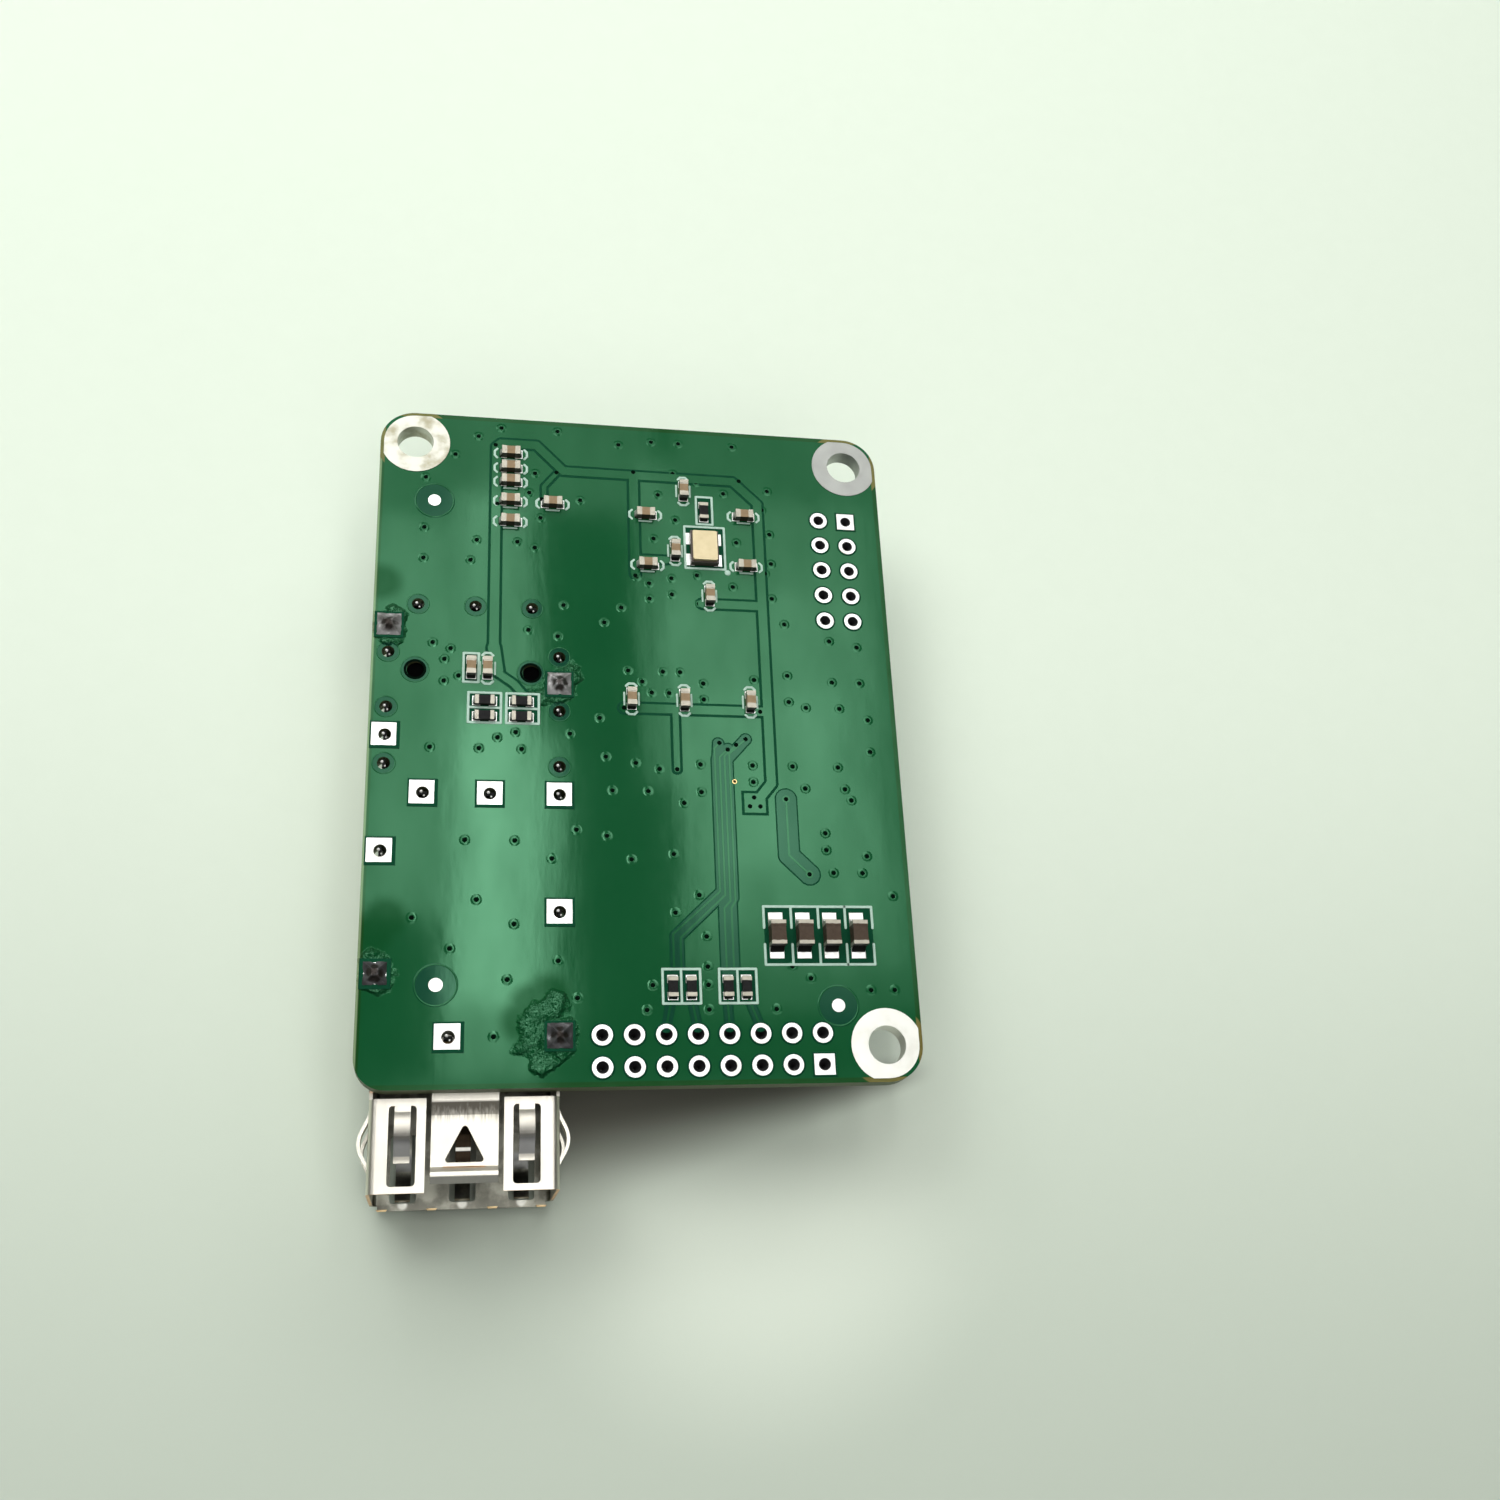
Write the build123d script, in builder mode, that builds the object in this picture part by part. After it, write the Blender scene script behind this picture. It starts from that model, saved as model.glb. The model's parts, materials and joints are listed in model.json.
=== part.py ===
from build123d import *
import os

# Host board for a small-form pluggable optical transceiver, solder side up, sizes in millimetres.
#
# The board lies in the XY plane with its solder side facing +Z. The origin is the centre of the front right
# mounting hole on the solder face, +X runs to the right and +Y runs to the rear, away from the module's
# mouth. The cage hangs under the board and its mouth stands out past the board's front edge.

# %% Board
BOARD_WIDTH = 45.0
BOARD_LENGTH = 60.0
BOARD_THICK = 1.6
HOLE_INSET = 3.0  # mounting hole centre to both of its edges
MOUNT_HOLE_DIA = 3.2
MOUNT_CORNER_R = 3.0
PLAIN_CORNER_R = 2.5
RING_DIA = 6.0
RING_MARGIN = 0.3  # bare laminate between a ring and the board's edge
PAD_THICK = 0.05

# %% Header holes, nothing fitted
HEADER_PITCH = 2.54
REAR_HEADER_COLUMNS = 2
REAR_HEADER_ROWS = 5
REAR_HEADER_FROM_RIGHT = 3.2  # right column to the right edge
REAR_HEADER_FROM_REAR = 8.8  # first row to the rear edge
REAR_HEADER_HOLE_DIA = 0.95
REAR_HEADER_PAD_DIA = 1.65
FRONT_HEADER_ROWS = 2
FRONT_HEADER_TO_CAGE = 0.5  # least gap from its pads to the cage's; it has the columns that fit
FRONT_HEADER_FROM_RIGHT = 8.3  # right column to the right edge
FRONT_HEADER_FROM_FRONT = 1.5  # first row to the front edge
FRONT_HEADER_HOLE_DIA = 1.0
FRONT_HEADER_PAD_DIA = 1.75

# %% Cage: one folded sheet, a base plate with the latch tongue, and what they seat in
SHEET = 0.25
CAGE_WIDTH = 14.5
CAGE_HEIGHT = 8.95
CAGE_FROM_LEFT = 1.25  # side wall to the board's left edge
CAGE_OVERHANG = 7.4  # mouth past the board's front edge, board side
TOP_WALL_EXTRA = 0.4  # the wall away from the board runs further than the flaps
FOLD_R = 0.6
REAR_WALL_FROM_FRONT = 41.05  # rear wall's mid plane to the board's front edge
FLAP_SETBACK = 0.35  # flap's rear edge past the board's front edge
FOLD_RELIEF = 0.6
REAR_SLIT = 0.2
TONGUE_WIDTH = 5.1
TONGUE_GAP = 0.4
PIN_WIDTH = 0.7
PIN_RECESS = 0.15  # pin tips stop this far short of the solder face
PIN_HOLE_DIA = 1.05
PIN_PAD = 2.2  # square pad round a soldered pin

# Distances of pins from the board's front edge
LEFT_PAD_PINS = (9.0, 19.0, 29.0, 39.0)
RIGHT_PAD_PINS = (4.0, 14.0, 24.0, 34.0)
SIDE_PLAIN_PINS = (26.5, 31.5, 36.5)
REAR_PIN_PITCH = 4.8
# Base plate pins: (from the cage's centre line, from the board's front edge)
BASE_PINS = ((-3.95, 24.0), (1.45, 24.0), (-1.45, 4.0))
SOLDERED_LEFT = (9.0, 39.0)
SOLDERED_RIGHT = (4.0, 34.0)
SOLDER_HEIGHT = 0.55
SOLDER_SLOPE = 50  # degrees from upright

# Spring fingers at the mouth
FINGER_WIDTH = 1.2
FINGER_SLOT = 0.45
FINGER_PITCH = 4.7
SIDE_FINGER_PITCH = 5.6
WINDOW_CORNER_R = 0.3
FLAP_FINGER_START = 0.9  # from the board's front edge
FLAP_FINGER_LENGTH = 4.0
FLAP_FINGER_PEAK = 2.2
FLAP_FINGER_DROP = 0.6  # how far the free end reaches into the cage
FLAP_FINGER_BULGE = 0.8
FLAP_FINGER_CREASE = 1.0  # straight root of a finger
FLAP_FINGER_BEND_R = 0.7
FLAP_WINDOW_LENGTH = 6.0
LONG_FINGER_LENGTH = 5.2
LONG_FINGER_PEAK = 2.6
LONG_FINGER_DROP = 0.35
LONG_FINGER_BULGE = 0.97
LONG_FINGER_CREASE = 0.4
LONG_FINGER_BEND_R = 2.0
LONG_WINDOW_LENGTH = 5.35
SIDE_FINGER_START = 0.95
TOP_FINGER_START = 1.9

# Base plate and latch tongue
BASE_TO_CONTACTS = 2.65  # plate's rear edge to the connector's feet
BASE_FROM_FRONT = 0.4
BASE_CLEARANCE = 0.05  # flange to side wall
FLANGE_HEIGHT = 1.6
TONGUE_CREASE = 0.5  # from the board's front edge
TONGUE_DIP = 0.35
TONGUE_DIP_END = 1.6
TONGUE_FLAT_END = 5.5
TONGUE_LIP_TOP = 6.1
TONGUE_TIP = 6.7
TONGUE_LIP_RISE = 0.5
TONGUE_BEND_R = 0.3
LATCH_HOLE_BASE = 3.2
LATCH_HOLE_LENGTH = 3.05
LATCH_HOLE_FRONT = 5.2  # base of the three-cornered hole, from the board's front edge
LATCH_HOLE_CORNER_R = 0.25
LATCH_RIM = 0.28

# %% Edge connector inside the cage
PEG_FROM_FRONT = 34.95
PEG_PITCH = 9.6
PEG_DIA = 1.4
PEG_HOLE_DIA = 1.55
PEG_LENGTH = 1.3
HOUSING_TO_WALL = 0.6  # each side of the housing to the cage's inside
HOUSING_DEPTH = 6.6
HOUSING_HEIGHT = 5.7
HOUSING_FRONT_TO_PEG = 1.9
CARD_SLOT_WIDTH = 9.4
CARD_SLOT_GAP = 1.3
CARD_SLOT_DEPTH = 4.6
CARD_SLOT_HEIGHT = 3.6  # slot's centre above the component face
CARD_SLOT_LEAD = 0.3
CONTACT_COUNT = 10
CONTACT_PITCH = 0.8
CONTACT_WIDTH = 0.3
CONTACT_THICK = 0.2
CONTACT_CLEARANCE = 0.04
CONTACT_FOOT = 0.8
CONTACT_BEND_R = 0.25

# %% Chip parts, and their places from the board's edges or from what they stand round
SMALL_CAP = (1.6, 0.8, 0.8)  # length, width, height
BULK_CAP = (2.0, 1.25, 1.25)
RESISTOR = (1.6, 0.8, 0.45)
CHIP_TERMINAL = 0.35
BULK_TERMINAL = 0.5
TERMINAL_PROUD = 0.02
OSCILLATOR_FROM_RIGHT = 16.5
OSCILLATOR_FROM_REAR = 12.4
OSCILLATOR_WIDTH = 2.5
OSCILLATOR_LENGTH = 3.2
OSCILLATOR_BASE_HEIGHT = 0.65
OSCILLATOR_LID_MARGIN = 0.15
OSCILLATOR_LID_HEIGHT = 0.3
CAP_COLUMN_FROM_LEFT = 11.35
CAP_COLUMN_FROM_REAR = (3.65, 5.15, 6.55, 8.5, 10.55)
COLUMN_SIDE_CAP_OFFSET = 3.7
COLUMN_SIDE_CAP_FROM_REAR = 8.55
# Offsets from the oscillator's centre
LEVEL_CAPS_ROUND_OSCILLATOR = ((-5.2, 3.25), (3.75, 3.55), (3.8, -1.55), (-5.1, -1.8))
TURNED_CAPS_ROUND_OSCILLATOR = ((-1.7, 5.9), (0.35, -4.6), (-2.6, -0.25))
RESISTOR_BY_OSCILLATOR = (0.1, 3.85)
CAP_ROW_OFFSETS = (-6.75, -2.2, 3.55)
CAP_ROW_TO_OSCILLATOR = 14.75
# Offsets from the middle between the connector's pegs
CAPS_BETWEEN_PEGS = ((-0.25, 0.3), (1.1, 0.3))
RESISTORS_BY_PEGS = ((0.9, -2.7), (3.95, -2.7), (0.9, -4.1), (3.95, -4.1))
FRONT_RESISTORS_FROM_RIGHT = (20.4, 18.9, 15.9, 14.4)
FRONT_RESISTORS_FROM_FRONT = 7.8
BULK_CAP_COUNT = 4
BULK_CAP_PITCH = 2.29
BULK_CAPS_FROM_RIGHT = 4.85
BULK_CAPS_FROM_FRONT = 12.1
MAIN_CHIP_FROM_RIGHT = 17.5
MAIN_CHIP_FROM_REAR = 18.4
MAIN_CHIP_SIDE = 10.0
MAIN_CHIP_HEIGHT = 0.9
MAIN_CHIP_DOT_DIA = 1.0
MAIN_CHIP_DOT_DEPTH = 0.1
REGULATOR_FROM_RIGHT = 8.0
REGULATOR_FROM_FRONT = 19.0
REGULATOR_BODY = (6.5, 3.5, 1.6)
REGULATOR_LEAD_PITCH = 2.3
REGULATOR_LEAD = (0.7, 1.75, 0.3)
REGULATOR_TAB_WIDTH = 3.0
FIDUCIAL_DIA = 1.1
REAR_FIDUCIAL_FROM_LEFT = 4.8
REAR_FIDUCIAL_FROM_REAR = 8.8
LEFT_FIDUCIAL_FROM_LEFT = 6.0
LEFT_FIDUCIAL_FROM_FRONT = 8.1
RIGHT_FIDUCIAL_FROM_RIGHT = 6.85
RIGHT_FIDUCIAL_FROM_FRONT = 6.25

# %% Places worked out from the sizes above
RIGHT = HOLE_INSET
LEFT = RIGHT - BOARD_WIDTH
FRONT = -HOLE_INSET
REAR = FRONT + BOARD_LENGTH
SOLDER_FACE = 0.0
COMPONENT_FACE = SOLDER_FACE - BOARD_THICK
HOLE_LEFT = LEFT + HOLE_INSET
HOLE_REAR = REAR - HOLE_INSET
MOUNT_HOLES = ((0.0, 0.0), (0.0, HOLE_REAR), (HOLE_LEFT, HOLE_REAR))

CAGE_X = LEFT + CAGE_FROM_LEFT + CAGE_WIDTH / 2
PIN_OFFSET = (CAGE_WIDTH - SHEET) / 2
CAGE_MID_Z = COMPONENT_FACE - CAGE_HEIGHT / 2
CAGE_LOW = COMPONENT_FACE - CAGE_HEIGHT
REAR_WALL_Y = FRONT + REAR_WALL_FROM_FRONT
FLAP_Y = FRONT - FLAP_SETBACK
MOUTH_Y = FRONT - CAGE_OVERHANG
PEG_Y = FRONT + PEG_FROM_FRONT
BASE_MID_Z = COMPONENT_FACE - SHEET / 2
FORWARD = Vector(0, -1, 0)
OSCILLATOR_X = RIGHT - OSCILLATOR_FROM_RIGHT
OSCILLATOR_Y = REAR - OSCILLATOR_FROM_REAR

left_pad_points = [(CAGE_X - PIN_OFFSET, FRONT + d) for d in LEFT_PAD_PINS]
right_pad_points = [(CAGE_X + PIN_OFFSET, FRONT + d) for d in RIGHT_PAD_PINS]
plain_pin_points = [(CAGE_X + side * PIN_OFFSET, FRONT + d) for side in (-1, 1) for d in SIDE_PLAIN_PINS]
rear_pin_points = [(CAGE_X + k * REAR_PIN_PITCH, REAR_WALL_Y) for k in (-1, 0, 1)]
base_pin_points = [(CAGE_X + dx, FRONT + d) for dx, d in BASE_PINS]
peg_points = [(CAGE_X + side * PEG_PITCH / 2, PEG_Y) for side in (-1, 1)]
square_pad_points = left_pad_points + right_pad_points + base_pin_points
soldered_points = [(CAGE_X - PIN_OFFSET, FRONT + d) for d in SOLDERED_LEFT]
soldered_points += [(CAGE_X + PIN_OFFSET, FRONT + d) for d in SOLDERED_RIGHT]


def header_points(right_x, first_y, columns, rows, step_y):
    """Hole centres of a header, column by column from its right one; the first is pin 1."""
    return [(right_x - HEADER_PITCH * c, first_y + step_y * r) for c in range(columns) for r in range(rows)]


rear_header_x = RIGHT - REAR_HEADER_FROM_RIGHT
rear_header_y = REAR - REAR_HEADER_FROM_REAR
rear_header_points = header_points(
    rear_header_x, rear_header_y, REAR_HEADER_COLUMNS, REAR_HEADER_ROWS, -HEADER_PITCH
)
front_header_x = RIGHT - FRONT_HEADER_FROM_RIGHT
front_header_y = FRONT + FRONT_HEADER_FROM_FRONT
front_header_end = CAGE_X + PIN_OFFSET + (PIN_PAD + FRONT_HEADER_PAD_DIA) / 2 + FRONT_HEADER_TO_CAGE
front_header_columns = 1 + int((front_header_x - front_header_end) // HEADER_PITCH)
front_header_points = header_points(
    front_header_x, front_header_y, front_header_columns, FRONT_HEADER_ROWS, HEADER_PITCH
)

os.makedirs("parts", exist_ok=True)


def save(piece, label):
    """Names a finished piece and writes its STEP file."""
    piece.part.label = label
    export_step(piece.part, f"parts/{label}.step")


# %% Circuit board
def board_outline(margin):
    """Sketch of the board's outline drawn in by a margin, its front left corner tighter than the rest."""
    with BuildSketch(mode=Mode.PRIVATE) as outline:
        with Locations(((LEFT + RIGHT) / 2, (FRONT + REAR) / 2)):
            Rectangle(BOARD_WIDTH - 2 * margin, BOARD_LENGTH - 2 * margin)
        plain_corner = outline.vertices().sort_by(lambda corner: corner.X + corner.Y)[0]
        fillet(plain_corner, PLAIN_CORNER_R - margin)
        mount_corners = outline.vertices().sort_by(lambda corner: corner.X + corner.Y)[2:]
        fillet(mount_corners, MOUNT_CORNER_R - margin)
    return outline.sketch


with BuildPart() as circuit_board:
    with BuildSketch():
        add(board_outline(0))
    extrude(amount=-BOARD_THICK)
    with Locations(*[(x, y, SOLDER_FACE) for x, y in MOUNT_HOLES]):
        Hole(MOUNT_HOLE_DIA / 2, BOARD_THICK)
    with Locations(*[(x, y, SOLDER_FACE) for x, y in rear_header_points]):
        Hole(REAR_HEADER_HOLE_DIA / 2, BOARD_THICK)
    with Locations(*[(x, y, SOLDER_FACE) for x, y in front_header_points]):
        Hole(FRONT_HEADER_HOLE_DIA / 2, BOARD_THICK)
    pin_points = square_pad_points + plain_pin_points + rear_pin_points
    with Locations(*[(x, y, SOLDER_FACE) for x, y in pin_points]):
        Hole(PIN_HOLE_DIA / 2, BOARD_THICK)
    with Locations(*[(x, y, SOLDER_FACE) for x, y in peg_points]):
        Hole(PEG_HOLE_DIA / 2, BOARD_THICK)
save(circuit_board, "circuit_board")

# %% Tinned copper on the solder face
with BuildPart() as mounting_rings:
    with BuildSketch():
        with Locations(*MOUNT_HOLES):
            Circle(RING_DIA / 2)
        add(board_outline(RING_MARGIN), mode=Mode.INTERSECT)
        with Locations(*MOUNT_HOLES):
            Circle(MOUNT_HOLE_DIA / 2, mode=Mode.SUBTRACT)
    extrude(amount=PAD_THICK)
save(mounting_rings, "mounting_rings")


def header_pads(points, pad_dia, hole_dia):
    """Round tinned pads at the points in the active sketch, the first one square."""
    with Locations(points[0]):
        Rectangle(pad_dia, pad_dia)
    with Locations(*points[1:]):
        Circle(pad_dia / 2)
    with Locations(*points):
        Circle(hole_dia / 2, mode=Mode.SUBTRACT)


with BuildPart() as header_pads_rear:
    with BuildSketch():
        header_pads(rear_header_points, REAR_HEADER_PAD_DIA, REAR_HEADER_HOLE_DIA)
    extrude(amount=PAD_THICK)
save(header_pads_rear, "header_pads_rear")

with BuildPart() as header_pads_front:
    with BuildSketch():
        header_pads(front_header_points, FRONT_HEADER_PAD_DIA, FRONT_HEADER_HOLE_DIA)
    extrude(amount=PAD_THICK)
save(header_pads_front, "header_pads_front")

with BuildPart() as cage_pads:
    with BuildSketch():
        with Locations(*square_pad_points):
            Rectangle(PIN_PAD, PIN_PAD)
            Circle(PIN_HOLE_DIA / 2, mode=Mode.SUBTRACT)
    extrude(amount=PAD_THICK)
save(cage_pads, "cage_pads")

fiducial_points = (
    (LEFT + REAR_FIDUCIAL_FROM_LEFT, REAR - REAR_FIDUCIAL_FROM_REAR),
    (LEFT + LEFT_FIDUCIAL_FROM_LEFT, FRONT + LEFT_FIDUCIAL_FROM_FRONT),
    (RIGHT - RIGHT_FIDUCIAL_FROM_RIGHT, FRONT + RIGHT_FIDUCIAL_FROM_FRONT),
)
with BuildPart() as fiducials:
    with BuildSketch():
        with Locations(*fiducial_points):
            Circle(FIDUCIAL_DIA / 2)
    extrude(amount=PAD_THICK)
save(fiducials, "fiducials")

with BuildPart() as solder_joints:
    with BuildSketch(Plane.XY.offset(PAD_THICK)):
        with Locations(*soldered_points):
            Rectangle(PIN_PAD, PIN_PAD)
    extrude(amount=SOLDER_HEIGHT, taper=SOLDER_SLOPE)
save(solder_joints, "solder_joints")


# %% Cage shell
def wall_plane(root, outward):
    """Plane across a wall at a finger's root: x runs forward and y runs out of the cage."""
    return Plane(origin=root, x_dir=FORWARD, z_dir=FORWARD.cross(Vector(outward)))


def spring_finger(root, outward, length, crease, peak, bulge, drop, bend_r, window_length):
    """Opens a window in a wall of the active part and bows a finger out through it."""
    with BuildSketch(Plane(origin=root, x_dir=FORWARD, z_dir=outward)) as window:
        RectangleRounded(
            window_length,
            FINGER_WIDTH + 2 * FINGER_SLOT,
            WINDOW_CORNER_R,
            align=(Align.MIN, Align.CENTER),
        )
    extrude(window.sketch, amount=2 * SHEET, both=True, mode=Mode.SUBTRACT)
    with BuildSketch(wall_plane(root, outward)) as bow:
        with BuildLine():
            FilletPolyline(
                (-SHEET, -SHEET / 2),
                (crease, -SHEET / 2),
                (peak, bulge),
                (length, -SHEET / 2 - drop),
                radius=bend_r,
            )
        trace(line_width=SHEET)
    extrude(bow.sketch, amount=FINGER_WIDTH / 2, both=True)


flap_finger = dict(
    length=FLAP_FINGER_LENGTH,
    crease=FLAP_FINGER_CREASE,
    peak=FLAP_FINGER_PEAK,
    bulge=FLAP_FINGER_BULGE,
    drop=FLAP_FINGER_DROP,
    bend_r=FLAP_FINGER_BEND_R,
    window_length=FLAP_WINDOW_LENGTH,
)
long_finger = dict(
    length=LONG_FINGER_LENGTH,
    crease=LONG_FINGER_CREASE,
    peak=LONG_FINGER_PEAK,
    bulge=LONG_FINGER_BULGE,
    drop=LONG_FINGER_DROP,
    bend_r=LONG_FINGER_BEND_R,
    window_length=LONG_WINDOW_LENGTH,
)
with BuildPart() as cage_shell:
    body_length = REAR_WALL_Y + SHEET / 2 - FLAP_Y
    with Locations((CAGE_X, FLAP_Y, COMPONENT_FACE)):
        Box(CAGE_WIDTH, body_length, CAGE_HEIGHT, align=(Align.CENTER, Align.MIN, Align.MAX))
    low_edges = cage_shell.edges().group_by(Axis.Z)[0]
    fillet(low_edges.sort_by(Axis.Y)[1:], FOLD_R)
    open_faces = [cage_shell.faces().sort_by(Axis.Y)[0], cage_shell.faces().sort_by(Axis.Z)[-1]]
    offset(amount=-SHEET, openings=open_faces)
    # Nose: the side walls fold over into two flaps on the board's side
    with BuildSketch(Plane.XZ.offset(-FLAP_Y)):
        with Locations((CAGE_X, CAGE_MID_Z)):
            RectangleRounded(CAGE_WIDTH, CAGE_HEIGHT, FOLD_R)
            RectangleRounded(
                CAGE_WIDTH - 2 * SHEET,
                CAGE_HEIGHT - 2 * SHEET,
                FOLD_R - SHEET,
                mode=Mode.SUBTRACT,
            )
        with Locations((CAGE_X, COMPONENT_FACE)):
            Rectangle(TONGUE_WIDTH + 2 * TONGUE_GAP, 2 * FOLD_R, mode=Mode.SUBTRACT)
    extrude(amount=FLAP_Y - MOUTH_Y)
    with Locations((CAGE_X, MOUTH_Y, CAGE_LOW)):
        Box(
            CAGE_WIDTH - 2 * FOLD_R,
            TOP_WALL_EXTRA,
            SHEET,
            align=(Align.CENTER, Align.MAX, Align.MIN),
        )
    # Bend relief behind each flap
    with Locations((CAGE_X, FLAP_Y, COMPONENT_FACE)):
        Box(
            CAGE_WIDTH,
            FOLD_RELIEF,
            2 * FOLD_R,
            align=(Align.CENTER, Align.MIN, Align.CENTER),
            mode=Mode.SUBTRACT,
        )
    # The rear wall folds down from the far wall, so a slit parts it from each side wall
    slit_x = CAGE_WIDTH / 2 - SHEET - REAR_SLIT / 2
    with Locations(*[(CAGE_X + side * slit_x, REAR_WALL_Y, COMPONENT_FACE) for side in (-1, 1)]):
        Box(
            REAR_SLIT,
            2 * SHEET,
            CAGE_HEIGHT - 2 * FOLD_R,
            align=(Align.CENTER, Align.CENTER, Align.MAX),
            mode=Mode.SUBTRACT,
        )
    # Solder pins stand on the side walls and the rear wall
    pin_length = BOARD_THICK - PIN_RECESS
    side_pin_points = left_pad_points + right_pad_points + plain_pin_points
    with Locations(*[(x, y, COMPONENT_FACE) for x, y in side_pin_points]):
        Box(SHEET, PIN_WIDTH, pin_length, align=(Align.CENTER, Align.CENTER, Align.MIN))
    with Locations(*[(x, y, COMPONENT_FACE) for x, y in rear_pin_points]):
        Box(PIN_WIDTH, SHEET, pin_length, align=(Align.CENTER, Align.CENTER, Align.MIN))
    # Spring fingers
    for side in (-1, 1):
        spring_finger(
            (CAGE_X + side * FINGER_PITCH, FRONT - FLAP_FINGER_START, COMPONENT_FACE),
            (0, 0, 1),
            **flap_finger,
        )
        for level in (-0.5, 0.5):
            spring_finger(
                (
                    CAGE_X + side * CAGE_WIDTH / 2,
                    FRONT - SIDE_FINGER_START,
                    CAGE_MID_Z + level * SIDE_FINGER_PITCH,
                ),
                (side, 0, 0),
                **long_finger,
            )
    for k in (-1, 0, 1):
        spring_finger(
            (CAGE_X + k * FINGER_PITCH, FRONT - TOP_FINGER_START, CAGE_LOW),
            (0, 0, -1),
            **long_finger,
        )
save(cage_shell, "cage_shell")

# %% Cage base plate with the latch tongue
housing_front = PEG_Y - HOUSING_FRONT_TO_PEG
feet_front = housing_front - CONTACT_THICK - CONTACT_FOOT
with BuildPart() as cage_base:
    plate_width = CAGE_WIDTH - 2 * SHEET - 2 * BASE_CLEARANCE
    plate_y = FRONT + BASE_FROM_FRONT
    with BuildSketch(Plane.XZ.offset(-plate_y)):
        with BuildLine():
            FilletPolyline(
                (CAGE_X - plate_width / 2 + SHEET / 2, COMPONENT_FACE - FLANGE_HEIGHT),
                (CAGE_X - plate_width / 2 + SHEET / 2, BASE_MID_Z),
                (CAGE_X + plate_width / 2 - SHEET / 2, BASE_MID_Z),
                (CAGE_X + plate_width / 2 - SHEET / 2, COMPONENT_FACE - FLANGE_HEIGHT),
                radius=FOLD_R - SHEET / 2,
            )
        trace(line_width=SHEET)
    extrude(amount=-(feet_front - BASE_TO_CONTACTS - plate_y))
    # Latch tongue: dips into the cage and ends in a rolled lip
    with BuildSketch(wall_plane((CAGE_X, FRONT, BASE_MID_Z), (0, 0, 1))):
        with BuildLine():
            FilletPolyline(
                (-BASE_FROM_FRONT - SHEET, 0),
                (TONGUE_CREASE, 0),
                (TONGUE_DIP_END, -TONGUE_DIP),
                (TONGUE_FLAT_END, -TONGUE_DIP),
                (TONGUE_LIP_TOP, TONGUE_LIP_RISE - TONGUE_DIP),
                (TONGUE_TIP, -TONGUE_DIP / 2),
                radius=TONGUE_BEND_R,
            )
        trace(line_width=SHEET)
    extrude(amount=TONGUE_WIDTH / 2, both=True)
    tongue_z = COMPONENT_FACE - TONGUE_DIP
    # Rim on the front edge of the latch hole
    with Locations((CAGE_X, FRONT - LATCH_HOLE_FRONT, tongue_z - SHEET)):
        Box(LATCH_HOLE_BASE, LATCH_RIM, SHEET + LATCH_RIM / 2, align=(Align.CENTER, Align.MAX, Align.MIN))
    # Three-cornered latch hole, its point to the rear
    with BuildSketch(Plane.XY.offset(tongue_z)):
        with BuildLine():
            Polyline(
                (CAGE_X - LATCH_HOLE_BASE / 2, FRONT - LATCH_HOLE_FRONT),
                (CAGE_X + LATCH_HOLE_BASE / 2, FRONT - LATCH_HOLE_FRONT),
                (CAGE_X, FRONT - LATCH_HOLE_FRONT + LATCH_HOLE_LENGTH),
                close=True,
            )
        latch_hole = make_face()
        fillet(latch_hole.vertices(), LATCH_HOLE_CORNER_R)
    extrude(amount=2 * SHEET, both=True, mode=Mode.SUBTRACT)
    # Pins lanced out of the plate
    with Locations(*[(x, y - SHEET / 2, COMPONENT_FACE) for x, y in base_pin_points]):
        Box(
            PIN_WIDTH + SHEET,
            pin_length,
            2 * SHEET,
            align=(Align.CENTER, Align.MAX, Align.CENTER),
            mode=Mode.SUBTRACT,
        )
    with Locations(*[(x, y, COMPONENT_FACE - SHEET) for x, y in base_pin_points]):
        Box(PIN_WIDTH, SHEET, pin_length + SHEET, align=(Align.CENTER, Align.CENTER, Align.MIN))
save(cage_base, "cage_base")

# %% Edge connector inside the cage
housing_width = CAGE_WIDTH - 2 * SHEET - 2 * HOUSING_TO_WALL
housing_rear = housing_front + HOUSING_DEPTH
slot_z = COMPONENT_FACE - CARD_SLOT_HEIGHT
upper_z = slot_z - CARD_SLOT_GAP / 2 - CONTACT_THICK / 2
lower_z = slot_z + CARD_SLOT_GAP / 2 + CONTACT_THICK / 2
foot_z = COMPONENT_FACE - CONTACT_THICK / 2
contact_plane = Plane(origin=(CAGE_X, 0, 0), x_dir=(0, 1, 0), z_dir=(1, 0, 0))
contact_xs = [(k - (CONTACT_COUNT - 1) / 2) * CONTACT_PITCH for k in range(CONTACT_COUNT)]


def upper_contact():
    """Path of a contact from the slot's far side over the housing's rear down to the board."""
    FilletPolyline(
        (housing_front + CARD_SLOT_LEAD * 2, upper_z),
        (housing_rear + CONTACT_THICK, upper_z),
        (housing_rear + CONTACT_THICK, foot_z),
        (housing_rear + CONTACT_THICK + CONTACT_FOOT, foot_z),
        radius=CONTACT_BEND_R,
    )


def lower_contact():
    """Path of a contact from the slot's near side over the housing's front down to the board."""
    FilletPolyline(
        (housing_front + CARD_SLOT_DEPTH, lower_z),
        (housing_front - CONTACT_THICK, lower_z),
        (housing_front - CONTACT_THICK, foot_z),
        (feet_front, foot_z),
        radius=CONTACT_BEND_R,
    )


def contact_row(path, thick, width, mode):
    """Sweeps a contact's path to a strip at each contact's place in the active part."""
    for x in contact_xs:
        with BuildSketch(contact_plane.offset(x)) as strip:
            with BuildLine():
                path()
            trace(line_width=thick)
        extrude(strip.sketch, amount=width / 2, both=True, mode=mode)


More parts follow.
